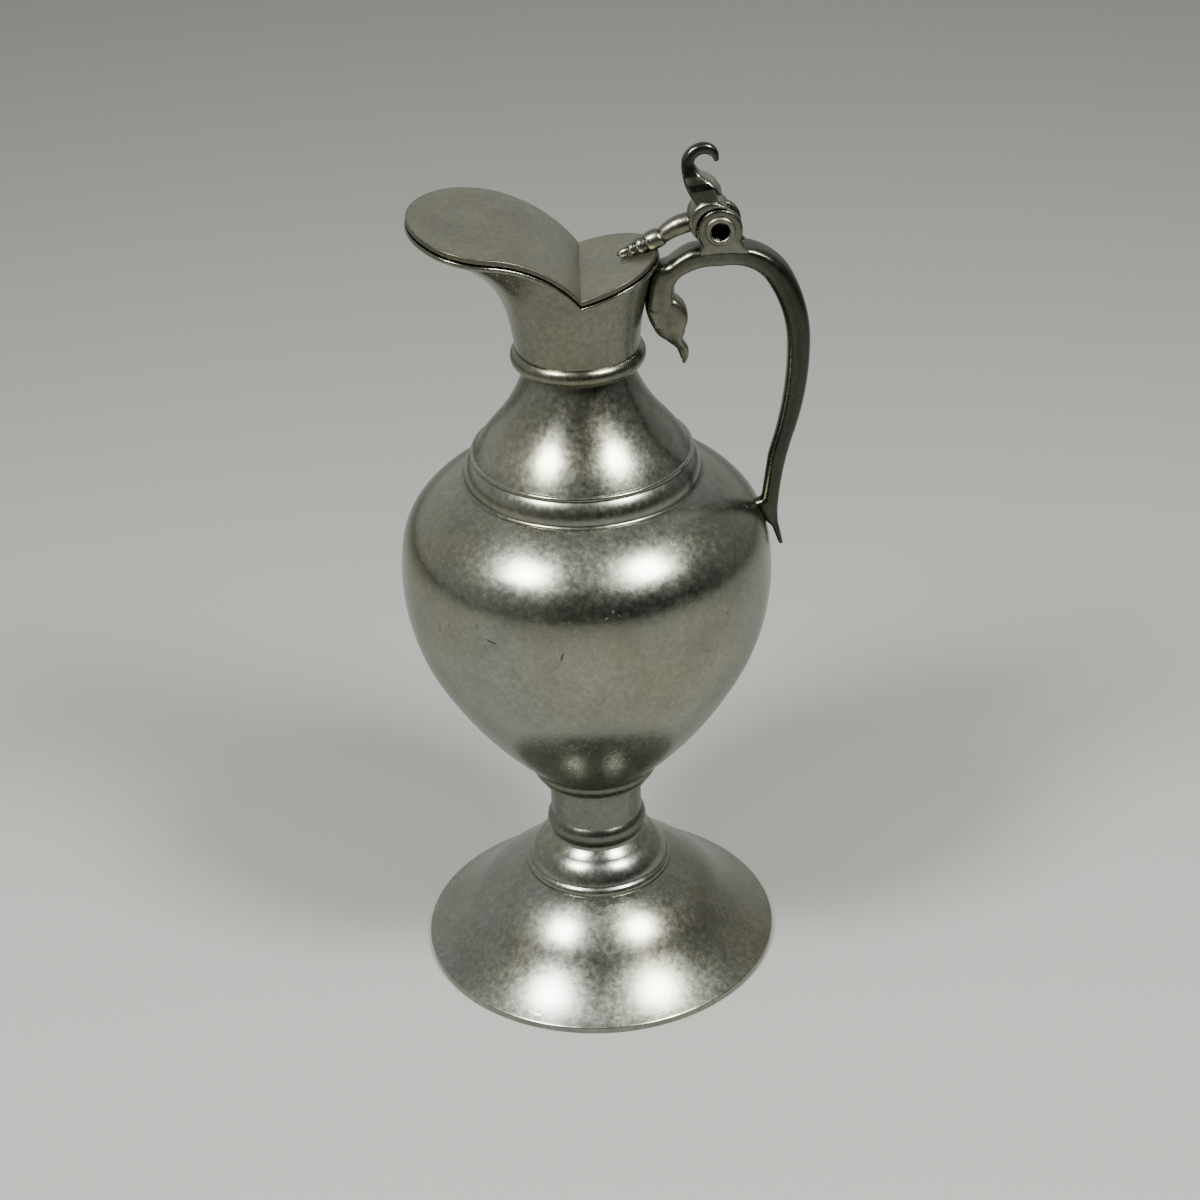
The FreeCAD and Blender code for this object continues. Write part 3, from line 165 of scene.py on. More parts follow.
def faces_of(grid, close_rows, close_columns):
    """Face corners of a grid: (i, j), (i+1, j), (i+1, j+1), (i, j+1), turned over if the faces enclose a
    negative volume, which is the sum of the corner points' triple products over six."""
    rows, columns = grid.shape[:2]
    number = np.arange(rows * columns).reshape(rows, columns)
    number = np.vstack([number, number[:1]]) if close_rows else number
    number = np.hstack([number, number[:, :1]]) if close_columns else number
    corners = (number[:-1, :-1], number[1:, :-1], number[1:, 1:], number[:-1, 1:])
    quads = np.stack(corners, axis=-1).reshape(-1, 4)
    a, b, c, d = (grid.reshape(-1, 3)[quads[:, i]] for i in range(4))
    volume = np.einsum("ij,ij->", a, np.cross(b, c)) + np.einsum("ij,ij->", a, np.cross(c, d))
    return quads[:, ::-1] if volume < 0 else quads


def make_piece(name, body, shells):
    """One object from one or more closed grids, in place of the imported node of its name. A shell is (grid
    in millimetres, ridge values, close_rows, close_columns)."""
    points, quads, ridges, total = [], [], [], 0
    for grid, ridge, close_rows, close_columns in shells:
        quads.append(faces_of(grid, close_rows, close_columns) + total)
        points.append(grid.reshape(-1, 3) * MM)
        ridges.append(np.broadcast_to(ridge, grid.shape[:2]).ravel())
        total += len(points[-1])
    mesh = bpy.data.meshes.new(name)
    mesh.from_pydata(np.vstack(points).tolist(), [], np.vstack(quads).tolist())
    values = np.concatenate(ridges).astype(np.float32)
    mesh.attributes.new("ridge", "FLOAT", "POINT").data.foreach_set("value", values)
    work = bmesh.new()
    work.from_mesh(mesh)
    bmesh.ops.remove_doubles(work, verts=work.verts, dist=WELD)
    work.to_mesh(mesh)
    work.free()
    mesh.shade_smooth()
    mesh.set_sharp_from_angle(angle=SHARP_EDGE)
    piece = bpy.data.objects.new(name, mesh)
    bpy.context.collection.objects.link(piece)
    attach(piece, body)
    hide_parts(name)
    print(name, len(mesh.polygons), "faces")
    return piece


# %% [markdown]
# The turned sections: foot, cap, bead, stem, socket, two bowl halves, ring, neck and collar. On a lathe
# each is a profile swept round the axis, and Blender's Screw modifier could do the same. Here the profile
# is multiplied by the cosines and sines of a full circle. The part that shows has softened corners; the
# part inside, or in a joint, stays sharp, so neighbours meet without a gap.

# %% How a section is turned
AROUND = np.linspace(0, 2 * np.pi, 224, endpoint=False)
BACK_POINTS, LEAD_POINTS = 40, 14


def turned(profile):
    """Grid from (radius, height) points: x = r cos a, y = r sin a, z = height, for each angle a of the
    circle."""
    radius, height = profile[:, :1], profile[:, 1:]
    return np.stack([radius * np.cos(AROUND), radius * np.sin(AROUND), height + 0 * AROUND], axis=-1)


def turned_piece(name, shown, hidden, reach=0.25, count=90, lead=(), painted_shade=0.0):
    """A closed turned section. Shown corners run up the outside; hidden ones come back down inside. A
    lead, for a section that closes on the axis, runs out from the axis under it. Painted shade lowers the
    ridge values all over, which darkens the whole section."""
    front, bend = spread(soften(trace(shown), reach), count)
    back = even(trace([shown[-1], *hidden]), BACK_POINTS)[1:]
    start = even(trace([*lead, shown[0]]), LEAD_POINTS)[:-1] if lead else np.zeros((0, 2))
    profile = np.vstack([start, front, back])
    # A lowered ridge value darkens the shown part of the section as painted shade.
    ridge = np.concatenate([np.zeros(len(start)), bend - painted_shade, np.zeros(len(back))])[:, None]
    return make_piece(name, "vessel", [(turned(profile), ridge, not lead, True)])


print("points round a section:", len(AROUND))

# %% [markdown]
# Each section stands on the one below, so the heights where they meet are named once. Corners are
# (radius, height, and how far the edge stands off its chord); the foot's and the neck's flanks turn from
# hollow to round.

# %% Foot, stem and bowl
FOOT_TOP, CAP_TOP, BEAD_TOP, STEM_TOP, SOCKET_TOP = 30, 44, 51, 65.4, 76.5
WIDEST, BOWL_TOP, RING_TOP, NECK_TOP, COLLAR_TOP = 146, 180.4, 189, 219.45, 225.05
FOOT_RADIUS, FOOT_NECK, STEM_RADIUS, STEM_BORE = 60, 24.9, 15.4, 13
SOCKET_RIM, BOWL_RADIUS, BOWL_BORE, NECK_BORE = 25.8, 59.9, 58.1, 14.95

body_pieces = [
    turned_piece("foot",
                 [(57.4, 0), (FOOT_RADIUS, 0), (FOOT_RADIUS, 2.1), (41.5, 17.5, 1.1),
                  (FOOT_NECK, FOOT_TOP, -1.15)],
                 [(22.5, FOOT_TOP), (22.5, 28), (39.92, 16.26, 1.956), (56.8, 1.05, -1.3), (56.8, 0),
                  (57.4, 0)],
                 reach=0.3, count=150),
    turned_piece("foot_cap",
                 [(FOOT_NECK, FOOT_TOP), (FOOT_NECK, 31.3), (24.2, 32.4), (23.5, 32.8), (16.6, 40.9, -1.3),
                  (STEM_RADIUS, CAP_TOP, 0.5)],
                 [(STEM_BORE, CAP_TOP), (22.5, FOOT_TOP, 2.2), (FOOT_NECK, FOOT_TOP)]),
    # The stem bead is darkened all over with painted shade.
    turned_piece("stem_bead",
                 [(STEM_RADIUS, CAP_TOP), (STEM_RADIUS, BEAD_TOP, -1.4)],
                 [(STEM_BORE, BEAD_TOP), (STEM_BORE, CAP_TOP), (STEM_RADIUS, CAP_TOP)],
                 reach=0.2, count=60, painted_shade=0.35),
    turned_piece("stem",
                 [(STEM_RADIUS, BEAD_TOP), (STEM_RADIUS, STEM_TOP)],
                 [(STEM_BORE, STEM_TOP), (STEM_BORE, BEAD_TOP), (STEM_RADIUS, BEAD_TOP)],
                 reach=0.2, count=30),
    # The socket under the bowl is darkened all over with painted shade.
    turned_piece("bowl_socket",
                 [(15.2, STEM_TOP), (18.6, STEM_TOP), (18.6, 66.8), (21.4, 70.6, -0.6), (21.4, 71.9),
                  (SOCKET_RIM, SOCKET_TOP)],
                 [(18.6, SOCKET_TOP), (STEM_BORE, 70.6), (STEM_BORE, STEM_TOP), (15.2, STEM_TOP)],
                 reach=0.2, count=110, painted_shade=0.35),
    turned_piece("lower_bowl",
                 [(SOCKET_RIM, SOCKET_TOP), (51.5, 112, -1.561), (BOWL_RADIUS, WIDEST, -2.131)],
                 [(BOWL_BORE, WIDEST), (49.91, 112.84, 2.079), (25.21, 78.5, 1.474), (0, 78.5)],
                 reach=0.3, count=120, lead=[(0, SOCKET_TOP)]),
]

# %% [markdown]
# Above the widest circle the bowl rounds over to a stepped ring with a rolled upper edge. The neck
# springs from the ring and draws in to a half-round collar that covers its joint with the mouth.

# %% Shoulder, neck and collar
body_pieces += [
    turned_piece("upper_bowl",
                 [(BOWL_RADIUS, WIDEST), (58.9, 158, -0.25), (53.8, 169, -0.817), (38.7, BOWL_TOP, -1.055)],
                 [(33.7, BOWL_TOP), (52.42, 167.84, 1.576), (57.12, 157.7, 0.753), (BOWL_BORE, WIDEST, 0.244),
                  (BOWL_RADIUS, WIDEST)],
                 reach=2.0, count=120),
    turned_piece("shoulder_ring",
                 [(38.9, BOWL_TOP), (37.75, 181.3, 0.2), (35.1, 188.2, -0.75), (35.5, 188.6), (35.35, 189.4),
                  (34.7, 189.8), (33.8, 189.4)],
                 [(33.3, RING_TOP), (33.7, BOWL_TOP), (38.9, BOWL_TOP)],
                 reach=0.16, count=130),
    turned_piece("neck",
                 [(34.6, RING_TOP), (28.2, 198, -0.28), (16.75, NECK_TOP, 1.4)],
                 [(NECK_BORE, NECK_TOP), (26.85, 196.81, -1.4), (32.62, RING_TOP, 0.159), (34.6, RING_TOP)],
                 reach=0.8, count=110),
    turned_piece("neck_bead",
                 [(16.6, NECK_TOP), (19.8, NECK_TOP), (19.8, COLLAR_TOP, -1.45), (18.0, COLLAR_TOP)],
                 [(NECK_BORE, COLLAR_TOP), (NECK_BORE, NECK_TOP), (16.6, NECK_TOP)],
                 reach=0.2, count=90),
]

# %% [markdown]
# The mouth's rim, seen from above, is two lobes that meet in a crease at each side: a blunt front lobe
# for the spout, made of a straight run and two arcs that flow into each other, and a round rear lobe. A
# curve traced by eye could do, but arcs fixed by a few places on the rim keep both sides alike and give
# true outward directions.

# %% Plan of the rim
CREASE = np.array([1.6, 22.4])
LOBE = np.array([-25.0, 27.5])
TIP_TURN = np.array([-41.98, 21.7])
SPOUT_REACH, REAR_REACH = 50.4, 25.6
MIRROR = np.array([1.0, -1.0])
RUN_POINTS, TIP_POINTS, REAR_POINTS = 40, 81, 120
FRONT_COUNT, REAR_COUNT = 241, 101
CREASE_ANGLE = 0.47 * np.pi
OUTWARD_WEIGHT = 20


def arc_points(centre, start, end, count):
    """Points and outward directions on a circle about centre, from the point start to the point end."""
    first, last = (np.arctan2(*(place - centre)[::-1]) for place in (start, end))
    last += 2 * np.pi if last < first else 0
    angle = np.linspace(first, last, count)
    outward = np.stack([np.cos(angle), np.sin(angle)], axis=1)
    return centre + np.linalg.norm(start - centre) * outward, outward


def lobe_points(run, out, count):
    """A lobe's rim in equal steps: places, outward directions of unit length, and shares of its
    length."""
    joined = even(np.hstack([run, OUTWARD_WEIGHT * out]), count)
    place, outward = joined[:, :2], joined[:, 2:]
    length = length_along(place)
    return place, outward / np.linalg.norm(outward, axis=1)[:, None], length / length[-1]


tip_depth = SPOUT_REACH + TIP_TURN[0]
tip_centre = np.array([(TIP_TURN[1] ** 2 + tip_depth ** 2) / (2 * tip_depth) - SPOUT_REACH, 0.0])
tip_out = (TIP_TURN - tip_centre) / np.linalg.norm(TIP_TURN - tip_centre)
chord = LOBE - TIP_TURN
corner_centre = TIP_TURN - tip_out * (chord @ chord) / (-2 * (chord @ tip_out))
rear_depth = REAR_REACH - CREASE[0]
rear_centre = np.array([REAR_REACH - (CREASE[1] ** 2 + rear_depth ** 2) / (2 * rear_depth), 0.0])
side_run = CREASE + np.linspace(0, 1, RUN_POINTS)[:, None] * (LOBE - CREASE)
side_out = np.tile([0.0, 1.0], (RUN_POINTS, 1))
corner_run, corner_out = arc_points(corner_centre, LOBE, TIP_TURN, RUN_POINTS)
tip_run, tip_outward = arc_points(tip_centre, TIP_TURN, TIP_TURN * MIRROR, TIP_POINTS)
rear_run, rear_out = arc_points(rear_centre, CREASE * MIRROR, CREASE, REAR_POINTS)
half_run = np.vstack([side_run[:-1], corner_run[:-1]])
half_out = np.vstack([side_out[:-1], corner_out[:-1]])
front_run = np.vstack([half_run, tip_run, (half_run * MIRROR)[::-1]])
front_out = np.vstack([half_out, tip_outward, (half_out * MIRROR)[::-1]])

front_place, front_normal, front_share = lobe_points(front_run, front_out, FRONT_COUNT)
rear_place, rear_normal, rear_share = lobe_points(rear_run, rear_out, REAR_COUNT)
rim_place = np.vstack([front_place[:-1], rear_place[:-1]])
rim_out = np.vstack([front_normal[:-1], rear_normal[:-1]])
rim_out[0] = (0.0, 1.0)
rim_out[FRONT_COUNT - 1] = (0.0, -1.0)
rim_angle = np.concatenate([CREASE_ANGLE + (2 * np.pi - 2 * CREASE_ANGLE) * front_share[:-1],
                            -CREASE_ANGLE + 2 * CREASE_ANGLE * rear_share[:-1]])
print("rim points:", len(rim_place), "corner centre", corner_centre.round(2))

# %% [markdown]
# The height of the rim follows from the side view alone: a straight lip in front, an arc that falls to
# the crease, and a straight rise behind it.

# %% Height of the rim
BEND = np.array([-26.0, 266.3])
TIP = np.array([-50.4, 270.4])
CREASE_Z, REAR_RISE = 249.5, 7.1

lip_heading = (BEND - TIP) / np.linalg.norm(BEND - TIP)
lip_square = np.array([lip_heading[1], -lip_heading[0]])
fall = np.array([CREASE[0], CREASE_Z]) - BEND
bend_centre = BEND + lip_square * (fall @ fall) / (2 * (fall @ lip_square))
bend_radius = np.linalg.norm(bend_centre - BEND)


def rim_height(x):
    """Height of the lid's upper face at x: a line as far as the bend, a circle's upper half to the
    crease, a line behind it."""
    lip = BEND[1] + (x - BEND[0]) * (TIP[1] - BEND[1]) / (TIP[0] - BEND[0])
    arch = bend_centre[1] + np.sqrt(np.maximum(bend_radius ** 2 - (x - bend_centre[0]) ** 2, 0))
    rear = CREASE_Z + (x - CREASE[0]) * REAR_RISE / (REAR_REACH - CREASE[0])
    return np.where(x >= CREASE[0], rear, np.where(x <= BEND[0], lip, arch))


print("rim at tip, bend and crease:", rim_height(np.array([TIP[0], BEND[0], CREASE[0]])).round(2))

# %% [markdown]
# The mouth starts as a round cup on the collar and is hammered out to the rim. A sculpted mesh could
# follow that, but a rule is truer: at a share of the way up, each point has moved from the round foot
# towards the rim by a power of that share, gently behind and strongly at the spout. The lip has an edge
# with softened corners.

# %% Mouth
LIP_INSET, LIP_DROP, LIP_EDGE = 0.9, 3.7, 0.5
WALL_INSET, WALL_DROP = 2.7, 2.2
FOOT_OUTSIDE, FOOT_INSIDE = 19.5, 17.7
WALL_ROWS, LIP_ROWS = 60, 44
SPOUT_STEADY, SPOUT_POWER, REAR_POWER = 0.18, 3.4, 1.6


def mouth_rows(share, inset, drop, base):
    """Rows of the mouth's wall. With s the share of the way up and c the spout's part (1 - cos a) / 2, a
    point has moved from the foot circle to the rim by c (0.18 s + 0.82 s^3.4) + (1 - c) s^1.6."""
    share, inset, drop = (np.broadcast_to(v, len(share))[:, None] for v in (share, inset, drop))
    rim_x = rim_place[:, 0] - inset * rim_out[:, 0]
    rim_y = rim_place[:, 1] - inset * rim_out[:, 1]
    spout = (1 - np.cos(rim_angle)) / 2
    drawn = SPOUT_STEADY * share + (1 - SPOUT_STEADY) * share ** SPOUT_POWER
    flare = spout * drawn + (1 - spout) * share ** REAR_POWER
    x = base * np.cos(rim_angle) * (1 - flare) + rim_x * flare
    y = base * np.sin(rim_angle) * (1 - flare) + rim_y * flare
    return np.stack([x, y, COLLAR_TOP + share * (rim_height(rim_x) - drop - COLLAR_TOP)], axis=-1)


lip_corners = [(-LIP_INSET, -LIP_DROP), (LIP_EDGE, -LIP_DROP),
               (LIP_EDGE, -WALL_DROP), (-WALL_INSET, -WALL_DROP)]
lip_line, lip_bend = spread(soften(trace(lip_corners), 0.3), LIP_ROWS)
climb = np.linspace(0, 1, WALL_ROWS)
outside = mouth_rows(climb, LIP_INSET, LIP_DROP, FOOT_OUTSIDE)
lip = mouth_rows(np.ones(LIP_ROWS), -lip_line[:, 0], -lip_line[:, 1], FOOT_OUTSIDE)
inside = mouth_rows(climb[::-1], WALL_INSET, WALL_DROP, FOOT_INSIDE)
mouth_grid = np.concatenate([outside[:-1], lip, inside[1:]])
plain_wall = np.zeros(WALL_ROWS - 1)
mouth_ridge = np.concatenate([plain_wall, lip_bend, plain_wall])[:, None]
mouth = make_piece("mouth", "vessel", [(mouth_grid, mouth_ridge, True, True)])

# %% [markdown]
# The lid is a flat plate, bent along the crease and cut to the rim's plan. Cutting a grid along a curved
# outline leaves slivers, so the plate is drawn in rays: each ray starts on a line down the middle of the
# plate and ends on the rim, and one pair of rays lies exactly in the crease, which keeps the bend sharp.
# The plate's edge is darkened with painted shade.

# %% Lid
LID_THICKNESS, EDGE_DEPTH = 1.7, 1.2
RAY_STEPS, EDGE_ROWS = 39, 40
SPINE_SHARE = 0.62
EDGE_SHADE, EDGE_SHADE_SLOPE, EDGE_SHADE_START = 0.9, 3, 1.6


def plate_rows(place, drop):
    """Rows of the plate: each point takes its height from the rim's rule at its own x."""
    return np.concatenate([place, (rim_height(place[..., 0]) + drop)[..., None]], axis=-1)


edge_corners = [(-EDGE_DEPTH, 0.0), (0.0, 0.0), (0.0, -LID_THICKNESS), (-EDGE_DEPTH, -LID_THICKNESS)]
lid_edge, _ = spread(soften(trace(edge_corners), 0.22), EDGE_ROWS)
ray = np.linspace(0, 1, RAY_STEPS, endpoint=False)[:, None]
spine = np.stack([CREASE[0] + SPINE_SHARE * (rim_place[:, 0] - CREASE[0]), 0 * rim_angle], axis=1)
edge_place = rim_place + lid_edge[:, :1, None] * rim_out
rays_out = spine + ray[..., None] * (edge_place[0] - spine)
rays_back = (spine + ray[..., None] * (edge_place[-1] - spine))[::-1]
lid_grid = np.concatenate([plate_rows(rays_out, 0.0), plate_rows(edge_place, lid_edge[:, 1:]),
                           plate_rows(rays_back, -LID_THICKNESS)])
plain_plate = np.zeros(RAY_STEPS)
# Painted shade on the plate's edge.
edge_shade = -EDGE_SHADE * np.clip(EDGE_SHADE_SLOPE * lid_edge[:, 0] + EDGE_SHADE_START, 0, 1)
lid_ridge = np.concatenate([plain_plate, edge_shade, plain_plate])[:, None]
lid = make_piece("lid", "lid_leaf", [(lid_grid, lid_ridge, False, True)])

# %% [markdown]
# Handle, leaf and thumbpiece are cast straps. In the side view each lies between an outer and an inner
# line; across, it has a width of its own. Each section is a rounded rectangle between those limits.
# Bevelled curves could do this only with one fixed section, and here the section changes all the way
# along.

# %% How a strap is drawn
CAP_ROWS = 8
# Lowers every strap's ridge values, so the straps' faces come out darker.
FACE_DIMMING = 0.35


def paired_lines(spans, reach):
    """Outer and inner line of a strap, span by span in equal steps, then smoothed together along the
    strap by a bell-shaped weight of reach steps. A span is (outer corners, inner corners, steps)."""
    both = [np.hstack([even(trace(side), steps + 1)[:-1] for side in sides]) for *sides, steps in spans]
    last = np.hstack([side[-1][:2] for side in spans[-1][:2]])
    smooth = bell_mean(np.vstack(both + [last[None]]), int(4 * reach), reach)
    return smooth[:, :2], smooth[:, 2:]


def strap(outer, inner, half_width, power, columns=56, caps=(0.0, 0.0), inner_power=None, inner_face_light=0.0):
    """Sections |a|^p + |b|^p = 1, with a from the inner to the outer line and b across the strap; the
    inner half may have a power of its own. At each end the section shrinks by the cosine of an angle
    while it moves out by the cap times its sine, to a pole. Ridge values follow how far a point stands
    into a section's corners, and change on the inner face by a given amount: up for a painted highlight,
    down for painted shade."""
    angle = np.linspace(0, 2 * np.pi, columns, endpoint=False)
    power = np.broadcast_to(power, len(outer))[:, None]
    power = np.where(np.cos(angle) < 0, power if inner_power is None else inner_power, power)
    a = np.sign(np.cos(angle)) * np.abs(np.cos(angle)) ** (2 / power)
    b = np.sign(np.sin(angle)) * np.abs(np.sin(angle)) ** (2 / power)
    middle, arm = (outer + inner) / 2, (outer - inner) / 2
    x = middle[:, :1] + arm[:, :1] * a
    z = middle[:, 1:] + arm[:, 1:] * a
    y = np.broadcast_to(half_width, len(outer))[:, None] * b
    grid = np.stack([x, y, z], axis=-1)
    lean = np.linspace(0, np.pi / 2, CAP_ROWS + 1)[1:, None, None]
    ends = []
    for end, before, cap in ((0, 4, caps[0]), (-1, -5, caps[1])):
        centre = grid[end].mean(axis=0)
        ahead = centre - grid[before].mean(axis=0)
        ahead *= cap / np.linalg.norm(ahead)
        ends.append(centre + (grid[end] - centre) * np.cos(lean) + ahead * np.sin(lean))
    # Painted light on the inner face: raised for a painted highlight, lowered for painted shade.
    polish = np.broadcast_to(inner_face_light, len(outer))[:, None] * np.clip((-a - 0.5) / 0.4, 0, 1)
    ridge = np.abs(a * b) * 4 / (power + 1) - FACE_DIMMING + polish
    ridge = np.pad(ridge, ((CAP_ROWS, CAP_ROWS), (0, 0)), mode="edge")
    return np.concatenate([ends[0][::-1], grid, ends[1]]), ridge, False, True


print("rows that close a strap's end:", CAP_ROWS)

# %% [markdown]
# The handle starts in the leaf, rises to a flat land that carries the hinge, arches over and falls to the
# bowl, where it ends in a small pointed tail. Its section is nearly square under the hinge and rounder at
# the grip. The leaf hangs under its root like a bud.

# %% Handle and leaf
HINGE = np.array([44.4, 263.0])
LAND_Z, TAIL_Z = 256.8, 151.6
LAND_WIDTH, TAIL_WIDTH = 5.3, 2.2
ROOT_STEPS, ROOT_SHARES = [0, 14, 22], [0.72, 0.95, 1.0]
GRIP_Z, ARCH_Z, GRIP_POWER, ARCH_POWER = 190, 250, 2.5, 3.0
HINGE_POWER, HINGE_REACH, HINGE_FLOOR = 2.5, 9, 240

handle_outer, handle_inner = paired_lines([
    ([(24.0, 231.5), (21.0, 237.0)],
     [(31.6, 233.0), (30.4, 239.6)], 14),
    ([(21.0, 237.0), (22.6, 247.0)],
     [(30.4, 239.6), (30.3, 243.0)], 14),
    ([(22.6, 247.0), (24.6, 251.4), (28.6, 252.2), (36, LAND_Z, 0.5)],
     [(30.3, 243.0), (32.0, 247.3, 0.35)], 34),
    ([(36, LAND_Z), (HINGE[0], LAND_Z)],
     [(32.0, 247.3), (HINGE[0], 250.9, 1.3)], 26),
    ([(HINGE[0], LAND_Z), (52.8, LAND_Z), (66.54, 246.61, 1.922)],
     [(HINGE[0], 250.9), (57.5, 246.2, 1.85)], 44),
    ([(66.54, 246.61), (72.2, 224.01, 1.436)],
     [(57.5, 246.32), (65, 221.97, 1.917)], 36),
    ([(72.2, 224.01), (67.28, 192, 1.237), (62.2, 166, -0.743)],
     [(65, 221.97), (59.04, 184.33, 1.499), (56.89, 168.4)], 70),
    ([(62.2, 166), (62.06, 163.5)],
     [(56.89, 168.4), (53.6, 167.4)], 10),
    ([(62.06, 163.5), (62.2, 159.5)],
     [(53.6, 167.4), (58.2, 160.2)], 12),
    ([(62.2, 159.5), (63.7, 152.3)],
     [(58.2, 160.2), (60.0, 158.6), (62.1, 152.5)], 22),
], 1.6)
handle_x, handle_z = ((handle_outer + handle_inner) / 2).T
handle_width = np.interp(handle_z, [TAIL_Z, LAND_Z], [TAIL_WIDTH, LAND_WIDTH])
handle_width *= np.interp(np.arange(len(handle_width)), ROOT_STEPS, ROOT_SHARES)
handle_power = np.interp(handle_z, [GRIP_Z, ARCH_Z], [GRIP_POWER, ARCH_POWER])
near_hinge = np.exp(-((handle_x - HINGE[0]) / HINGE_REACH) ** 2) * (handle_z > HINGE_FLOOR)
handle_power += HINGE_POWER * near_hinge
# The handle's inner face, towards the bowl, is painted darker as shade.
handle_shell = strap(handle_outer, handle_inner, handle_width, handle_power, caps=(0.5, 0.7), inner_face_light=-0.6)
handle = make_piece("handle", "vessel", [handle_shell])

leaf_outer, leaf_inner = paired_lines([
    ([(30.4, 242.5), (30.4, 240.2), (33.5, 229.8, 2.2)],
     [(21.6, 240.0), (21.2, 237.2), (23.6, 230.2, -0.4)], 40),
    ([(33.5, 229.4), (32.6, 226.6, 0.2), (34.3, 222.6, -0.3)],
     [(23.6, 230.2), (26.6, 226.6, -0.5), (30.6, 223.0)], 30),
    ([(34.3, 222.6), (33.4, 217.6, 0.5)],
     [(30.6, 223.0), (32.4, 217.7)], 20),
], 1.4)
leaf_share = np.linspace(0, 1, len(leaf_outer))
leaf_width = np.interp(leaf_share, [0, 0.12, 0.4, 0.6, 0.8, 1], [3.3, 4.0, 4.1, 3.0, 1.8, 0.8])
leaf_shell = strap(leaf_outer, leaf_inner, leaf_width, 4.0, caps=(0.0, 0.5))
leaf = make_piece("handle_leaf", "vessel", [leaf_shell])

# %% [markdown]
# The thumbpiece is the lever that opens the lid: a broad pad for the thumb, painted brighter than the rest
# as a reflection, and above it a thin scroll that curls back to the handle's side.

# %% Thumbpiece
thumb_outer, thumb_inner = paired_lines([
    ([(37.5, 270.8), (33.1, 282.6, 1.135)],
     [(44.7, 270.8), (45.3, 274.4), (43.6, 276.8, 0.2), (39.0, 280.0, -0.3), (37.0, 283.2, 0.2)], 50),
    ([(33.1, 282.6), (39.8, 289.6, 1.944), (44.5, 284.6, 1.6)],
     [(37.0, 283.2), (42.8, 284.2, 2.3)], 50),
], 1.6)
thumb_share = np.linspace(0, 1, len(thumb_outer))
thumb_width = np.interp(thumb_share, [0, 0.2, 0.28, 0.38, 0.5, 0.8, 1], [4.3, 4.8, 4.4, 3.0, 2.2, 1.7, 1.3])
thumb_power = np.interp(thumb_share, [0, 0.35, 0.6], [7.0, 5.0, 2.6])
# The thumbpiece's pad is painted brighter as a reflection.
thumb_pad_light = np.interp(thumb_share, [0.0, 0.06, 0.38, 0.5], [0.0, 3.0, 3.0, 0.0])
thumb_shell = strap(thumb_outer, thumb_inner, thumb_width, thumb_power, caps=(0.0, 0.9), inner_face_light=thumb_pad_light)
thumb = make_piece("thumbpiece", "lid_leaf", [thumb_shell])

# %% [markdown]
# The hinge has two upright eyes on the handle, a tubular pin with rolled ends, and between them the lid's
# own eye. Eyes and pin are drawn round the hinge's axis: a row is a ring at its own depth, and the outer
# rings follow the eye's outline instead of a circle.

# %% Hinge eyes
SWEEP = np.linspace(0, 2 * np.pi, 144, endpoint=False)
EYE_BORE, EYE_INNER, EYE_OUTER = 3.0, -2.3, -5.3
EDGE_REACH = 2.2
SKIRT_SLOPE, SKIRT_START, SKIRT_LENGTH, OUTER_HALF = 0.12, 6.2, 4, -4.0


def round_hinge(radius, depth):
    """Rings about the hinge's axis: x and z from the hinge by the radius at each angle, y the ring's
    depth."""
    radius, depth = np.broadcast_arrays(radius, np.reshape(depth, (-1, 1)) + 0 * SWEEP)
    return np.stack([HINGE[0] + radius * np.cos(SWEEP), depth, HINGE[1] + radius * np.sin(SWEEP)], axis=-1)


eye_corners = [(0, -10.2), (6.5, -9.8), (9.2, -7.6), (7.4, -5.6, 0.2), (6.2, -2.95, 0.1), (0, 6.86, -3.19),
               (-6.75, -1.2, -2.45), (-5.6, -4.0, -0.17), (-6.6, -6.6, 0.5), (-6.0, -9.4), (0, -10.2)]
eye_outline = soften(trace(eye_corners), 0.35)
eye_angle = np.unwrap(np.arctan2(eye_outline[:, 1], eye_outline[:, 0]))
full_angle = np.concatenate([eye_angle - 2 * np.pi, eye_angle, eye_angle + 2 * np.pi])
eye_radius = np.interp(SWEEP, full_angle, np.tile(np.hypot(*eye_outline.T), 3))
edge_corners = [(-EDGE_REACH, EYE_INNER), (0, EYE_INNER), (0, EYE_OUTER), (-EDGE_REACH, EYE_OUTER)]
eye_rows, eye_bend = spread(soften(trace(edge_corners), 0.55), 40)


def eye_shell(side):
    """One eye: out along its inner face, round its edge, in along its outer face and back through the
    bore. Below the hinge the outer face slopes in to meet the strap."""
    edge = round_hinge(eye_radius + eye_rows[:, :1], eye_rows[:, 1])
    grid = np.concatenate([round_hinge(EYE_BORE, [EYE_INNER]), edge, round_hinge(EYE_BORE, [EYE_OUTER])])
    below = np.clip(HINGE[1] - grid[:, :, 2] - SKIRT_START, 0, SKIRT_LENGTH)
    sunk = SKIRT_SLOPE * below * (grid[:, :, 1] < OUTER_HALF)
    grid[:, :, 1] = side * (grid[:, :, 1] + sunk)
    ridge = np.concatenate([[0], eye_bend, [0]])[:, None]
    return grid, ridge, True, True


front_eye = make_piece("hinge_cheek_front", "vessel", [eye_shell(1)])
rear_eye = make_piece("hinge_cheek_rear", "vessel", [eye_shell(-1)])

# %% [markdown]
# The pin is a short tube whose ends are rolled over the eyes. Its bore is drawn as a deep, ragged hole at
# each end, darkened with painted shade, and its two halves mirror each other.

# %% Hinge pin
PIN_RADIUS, PIN_HOLE, HOLE_END = 2.9, 2.75, -1.0
BORE_SHADE, BORE_MARGIN = -2.0, 0.1

